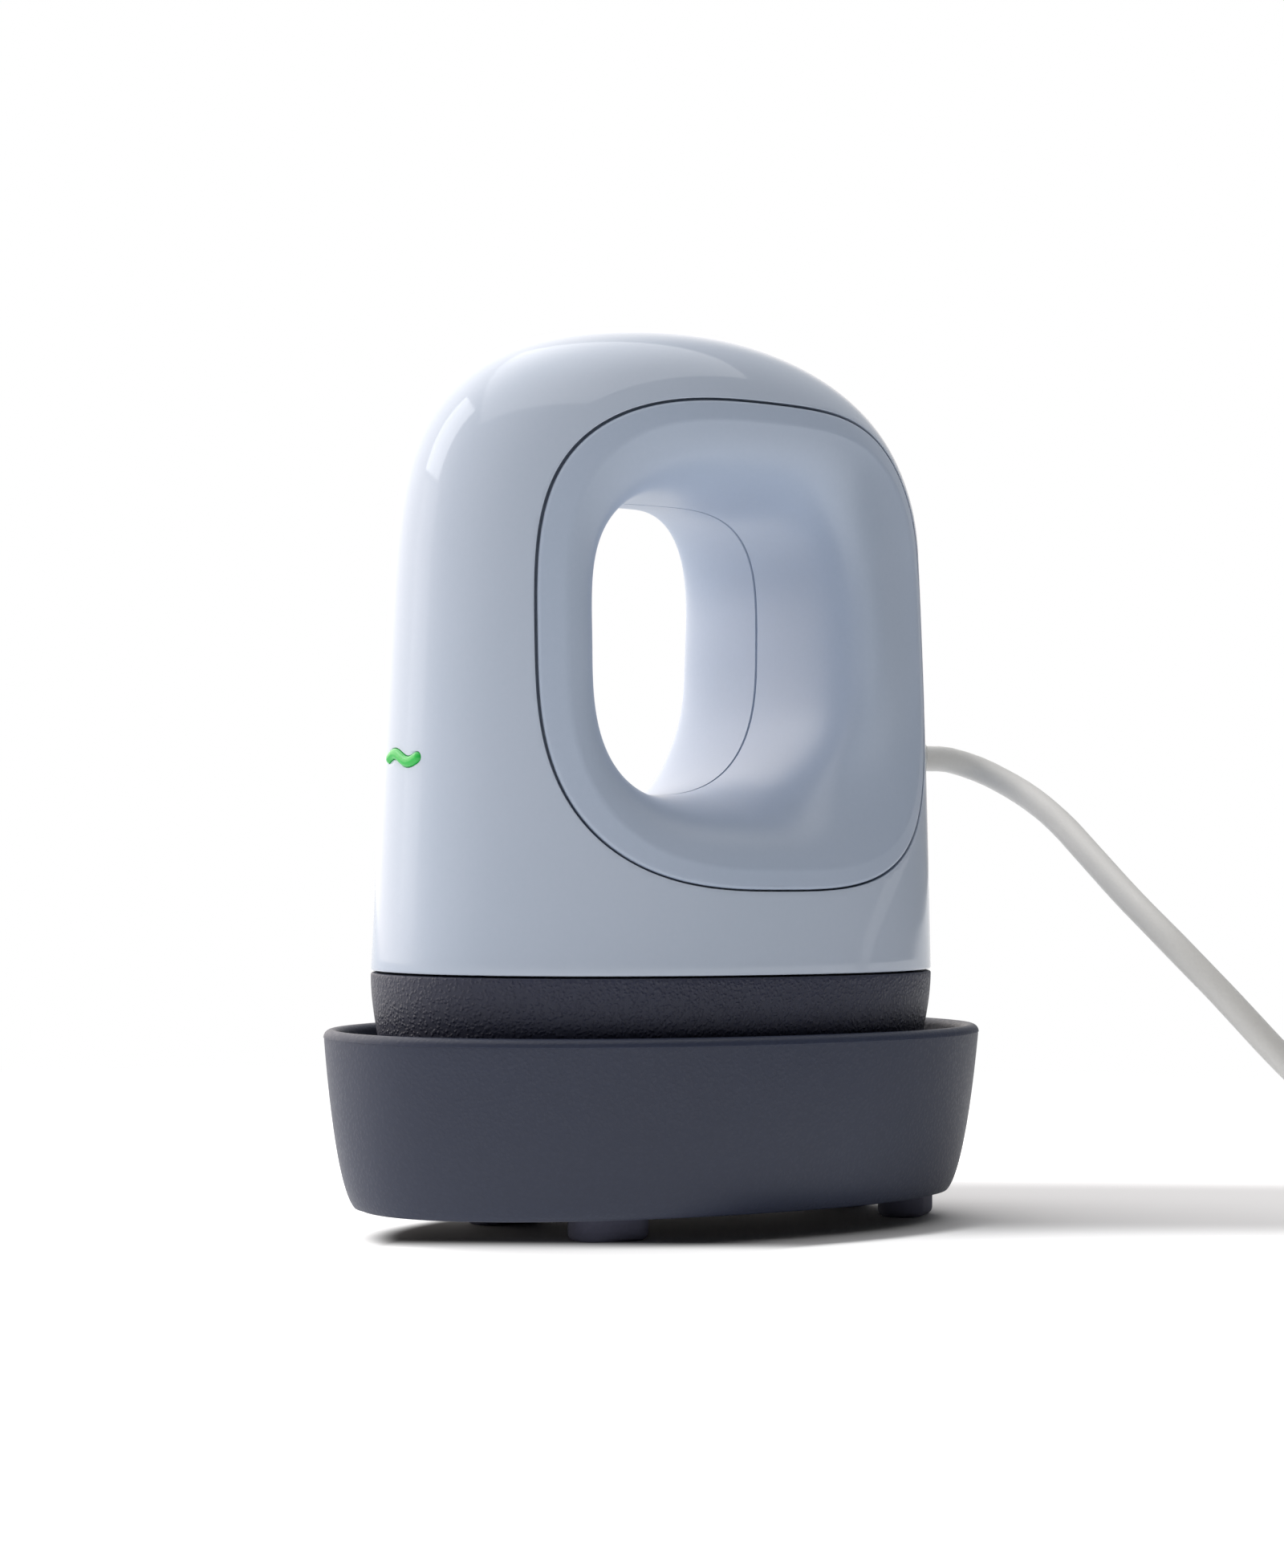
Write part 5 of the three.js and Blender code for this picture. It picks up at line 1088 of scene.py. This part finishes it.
FINISHES = {
    "shell": finish("pale_glossy_shell", "#b5bfcf", "#b2bdcd", (230, 0.6, 0.0), 0.003, (0.055, 0.085),
                    IOR=1.5),
    "insert": finish("pale_satin_insert", "#aab6c9", "#a6b3c6", (3600, 0.4, 0.5), 0.005, (0.3, 0.38)),
    "skirt": finish("charcoal_grained_skirt", "#2a2e42", "#26293b", (1750, 0.9, 0.25), 0.13, (0.34, 0.54),
                    Specular_IOR_Level=0.42),
    "tray": finish("slate_fine_tray", "#293044", "#262c3f", (1600, 0.8, 0.4), 0.03, (0.42, 0.54),
                   Specular_IOR_Level=0.42),
    "liner": finish("dark_foam_pad", "#2e2f33", "#26272b", (1500, 0.9, 0.5), 0.12, (0.85, 0.98)),
    "feet": finish("foot_rubber", "#55566a", "#4d4e60", (2200, 0.5, 0.6), 0.02, (0.68, 0.85)),
    "frame": finish("white_nylon_frame", "#d9d9d4", "#d0d0ca", (2400, 0.6, 0.4), 0.015, (0.5, 0.62)),
    "screws": finish("zinc_screw", "#a9adb3", "#9a9ea6", lines=(2500, 2500, 400), depth=0.01,
                     rough=(0.28, 0.42), Metallic=1.0),
    "plate": finish("dark_non_stick_plate", "#3b3d41", "#45474c", (3000, 0.6, 0.6), 0.012, (0.35, 0.5),
                    Metallic=0.35),
    "gasket": finish("red_silicone_gasket", "#b4532d", "#a84a27", (1800, 0.4, 0.6), 0.02, (0.6, 0.75)),
    "steel": finish("rolled_steel", "#a9adb3", "#989ca2", lines=(3500, 90, 3500), depth=0.012,
                    rough=(0.3, 0.46), Metallic=1.0),
    "wool": finish("ceramic_fibre_board", "#d8d2c2", "#c9c2b0", (900, 1.2, 0.7), 0.15, (0.85, 0.98)),
    "ceramic": finish("glazed_ceramic", "#e8e4da", "#dfdbd0", (1200, 0.4, 0.3), 0.01, (0.35, 0.5)),
    "brass": finish("plated_brass", "#c2a262", "#b49452", lines=(300, 300, 5000), depth=0.006,
                    rough=(0.24, 0.36), Metallic=1.0),
    "board": finish("green_solder_mask", "#1f5a3a", "#174a2f", (420, 0.2, 0.1), 0.03, (0.3, 0.5),
                    drift=(300, 0.5, 900)),
    "component": finish("black_moulded_case", "#202124", "#191a1d", (2600, 0.5, 0.5), 0.02, (0.45, 0.6)),
    "capacitor": finish("amber_film_case", "#c9962f", "#b98724", (1600, 0.4, 0.3), 0.02, (0.35, 0.5)),
    "lead": finish("grey_wire_sleeve", "#3a3a3d", "#333336", (2400, 0.5, 0.5), 0.015, (0.5, 0.65)),
    "lens": finish("green_lens", "#2cb34b", "#26a943", (1500, 0.3, 0.2), 0.004, (0.16, 0.24),
                   Emission_Color=rgb("#2fd24e"), Emission_Strength=0.08),
    "diode": finish("clear_resin_diode", "#f2f2ea", "#ecece2", (1500, 0.3, 0.2), 0.004, (0.2, 0.3)),
    "cord": finish("pale_cord_jacket", "#d4d4d2", "#cfcfcd", (1900, 0.7, 0.4), 0.015, (0.42, 0.55),
                   drift=(60, 0.4, 2500)),
    "strap": finish("black_woven_strap", "#26272b", "#1d1e22", weave=(90, 14), depth=0.12, rough=(0.7, 0.95)),
}
FINISHES["button"] = FINISHES["shell"]


def dress(piece, material):
    piece.data.materials.clear()
    piece.data.materials.append(material)


for entry in frame["record"]["subparts"]:
    dress(frame["nodes"][entry["node"]], FINISHES[entry["material_slot"]])

# What each piece stands for

STANDS_FOR = [
    (shell_piece, "press", "shell", "outer_shell"),
    (inserts[0], "press", "insert", "handle_insert_right"),
    (inserts[1], "press", "insert", "handle_insert_left"),
    (skirt_piece, "press", "skirt", "skirt"),
    (lens_piece, "press", "lens", "light_lens"),
    (boot_piece, "press", "cord", "cord_bushing"),
    (button_piece, "button", "button", "power_button"),
    (tray_piece, "base", "tray", "base_tray"),
    (liner_piece, "base", "liner", "tray_liner"),
    (strap_piece, "base", "strap", "cord_tie"),
    (plug_piece, "base", "cord", "plug_body"),
    (pins[0], "base", "brass", "plug_pin_right"),
    (pins[1], "base", "brass", "plug_pin_left"),
] + [(piece, "base", "feet", node) for node, piece in feet.items()]

for piece, body, slot, node in STANDS_FOR:
    dress(piece, FINISHES[slot])
    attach(piece, body)
    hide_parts(node)

dress(cord, FINISHES["cord"])
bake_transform(cord)
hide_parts("cord_run", "cord_coil")

# Floor and light


LEFT = Vector((-0.586, -0.810, 0))  # the photograph's left, level with the floor
BEHIND = Vector((-0.810, 0.586, 0))  # away from the camera
UP = Vector((0, 0, 1))


def floor():
    """A pale studio floor that turns to plain white away from the press. Near the press it carries a painted
    contact shadow under the tray's left end and a painted glow that whitens it round the press's shadow.
    """
    ground = made("studio_floor", bpy.ops.mesh.primitive_plane_add, size=40)
    material = bpy.data.materials.new("studio_floor")
    material.use_nodes = True
    tree = material.node_tree
    surface = tree.nodes["Principled BSDF"]
    surface.inputs["Roughness"].default_value = 0.9
    surface.inputs["Specular IOR Level"].default_value = 0.1
    surface.inputs["Emission Color"].default_value = (1, 1, 1, 1)
    place = place_node(tree, "ShaderNodeTexCoord").outputs["Object"]

    def run(way, start, end, most=1.0):
        return ramp(tree, vector_sums(tree, "DOT_PRODUCT", place, way, result="Value"), start, end, last=most)

    # An ellipse round the tray's footprint. Inside it the floor gets no painted glow, and at its left end the
    # floor's colour is painted dark as a contact shadow.
    centred = vector_sums(tree, "SUBTRACT", place, (0.005, 0.0045, 0))
    scaled = vector_sums(tree, "MULTIPLY", centred, (31.7, 18.5, 0))
    ring = vector_sums(tree, "LENGTH", scaled, result="Value")
    # clear marks where the painted glow may go: outside the ellipse round the tray, or toward the camera.
    clear = sums(tree, "MAXIMUM", ramp(tree, ring, 0.93, 1.07), run(-BEHIND, 0.024, 0.036))
    pale = sums(tree, "MAXIMUM", clear, run(-LEFT, -0.036, -0.012))
    # Painted shadow: the floor's colour drops to dark grey under the tray's left end.
    floor_colour_with_painted_shadow = mixed_colour(tree, pale, (0.12, 0.12, 0.12, 1), (0.585, 0.59, 0.6, 1))
    tree.links.new(floor_colour_with_painted_shadow, surface.inputs["Base Color"])
    # Painted light: the floor glows in front of the press, to its left and far behind it, but not to its
    # right, where the press's shadow stays grey.
    sides = sums(tree, "MAXIMUM", run(-BEHIND, -0.01, 0.025, 0.7), run(LEFT, 0.01, 0.04, 0.7))
    sides = sums(tree, "MAXIMUM", sides, run(BEHIND, 0.06, 0.096, 0.7))
    tree.links.new(sums(tree, "MULTIPLY", clear, sides), surface.inputs["Emission Strength"])
    away = vector_sums(tree, "LENGTH", place, result="Value")
    white = place_node(tree, "ShaderNodeEmission", {"Color": (1, 1, 1, 1), "Strength": 1.0})
    both = place_node(tree, "ShaderNodeMixShader", {0: ramp(tree, away, 0.13, 0.4), 1: surface.outputs[0],
                                                    2: white.outputs[0]})
    tree.links.new(both.outputs[0], tree.nodes["Material Output"].inputs["Surface"])
    dress(ground, material)


def softbox(name, place, size, power, colour=(1, 1, 1), target=(0, 0, 0.07)):
    data = bpy.data.lights.new(name, "AREA")
    data.shape = "RECTANGLE"
    data.size, data.size_y = size
    data.energy = power
    data.color = colour
    light = bpy.data.objects.new(name, data)
    bpy.context.scene.collection.objects.link(light)
    light.location = place
    light.rotation_euler = (Vector(target) - Vector(place)).to_track_quat("-Z", "Y").to_euler()
    return light


def studio_sky():
    """Soft light from all round, brighter on the left and behind; plain white where the camera looks."""
    world = bpy.data.worlds.new("studio")
    world.use_nodes = True
    bpy.context.scene.world = world
    tree = world.node_tree
    sees = place_node(tree, "ShaderNodeLightPath").outputs["Is Camera Ray"]
    way = place_node(tree, "ShaderNodeTexCoord").outputs["Generated"]
    total = (0.02, 0.02, 0.02)
    for toward, tint in ((LEFT + UP * 0.1, (0.19, 0.175, 0.165)),
                         (LEFT * 0.7 + BEHIND * 0.7 + UP * 0.15, (1.75, 1.61, 1.49)),
                         (LEFT * 0.7 + UP * 0.75, (0.74, 0.71, 0.7)),
                         (BEHIND * 0.7 + UP * 0.75, (0.62, 0.63, 0.65))):
        facing = vector_sums(tree, "DOT_PRODUCT", way, toward.normalized(), result="Value")
        glow = vector_sums(tree, "SCALE", tint, Scale=ramp(tree, facing, 0.35, 0.98))
        total = vector_sums(tree, "ADD", glow, total)
    soft = tree.nodes["Background"]
    tree.links.new(total, soft.inputs["Color"])
    plain = place_node(tree, "ShaderNodeBackground", {"Color": (1, 1, 1, 1), "Strength": 1.0})
    both = place_node(tree, "ShaderNodeMixShader", {0: sees, 1: soft.outputs[0], 2: plain.outputs[0]})
    tree.links.new(both.outputs[0], tree.nodes["World Output"].inputs["Surface"])


def light_up():
    floor()
    studio_sky()
    softbox("key", LEFT * 0.84 + BEHIND * 0.15 + UP * 0.645, (0.37, 0.44), 1.3)
    softbox("side", LEFT * 0.95 + BEHIND * 0.1 + UP * 0.25, (0.35, 0.35), 0.2, (1.0, 0.95, 0.95))
    top = softbox("top", Vector((0.079, -0.184, 1.1)), (1.6, 1.5), 8.6, (1.0, 0.985, 0.965))
    top.rotation_euler = (0, 0, math.radians(-66.8))
    bpy.context.scene.view_settings.view_transform = "Standard"


light_up()
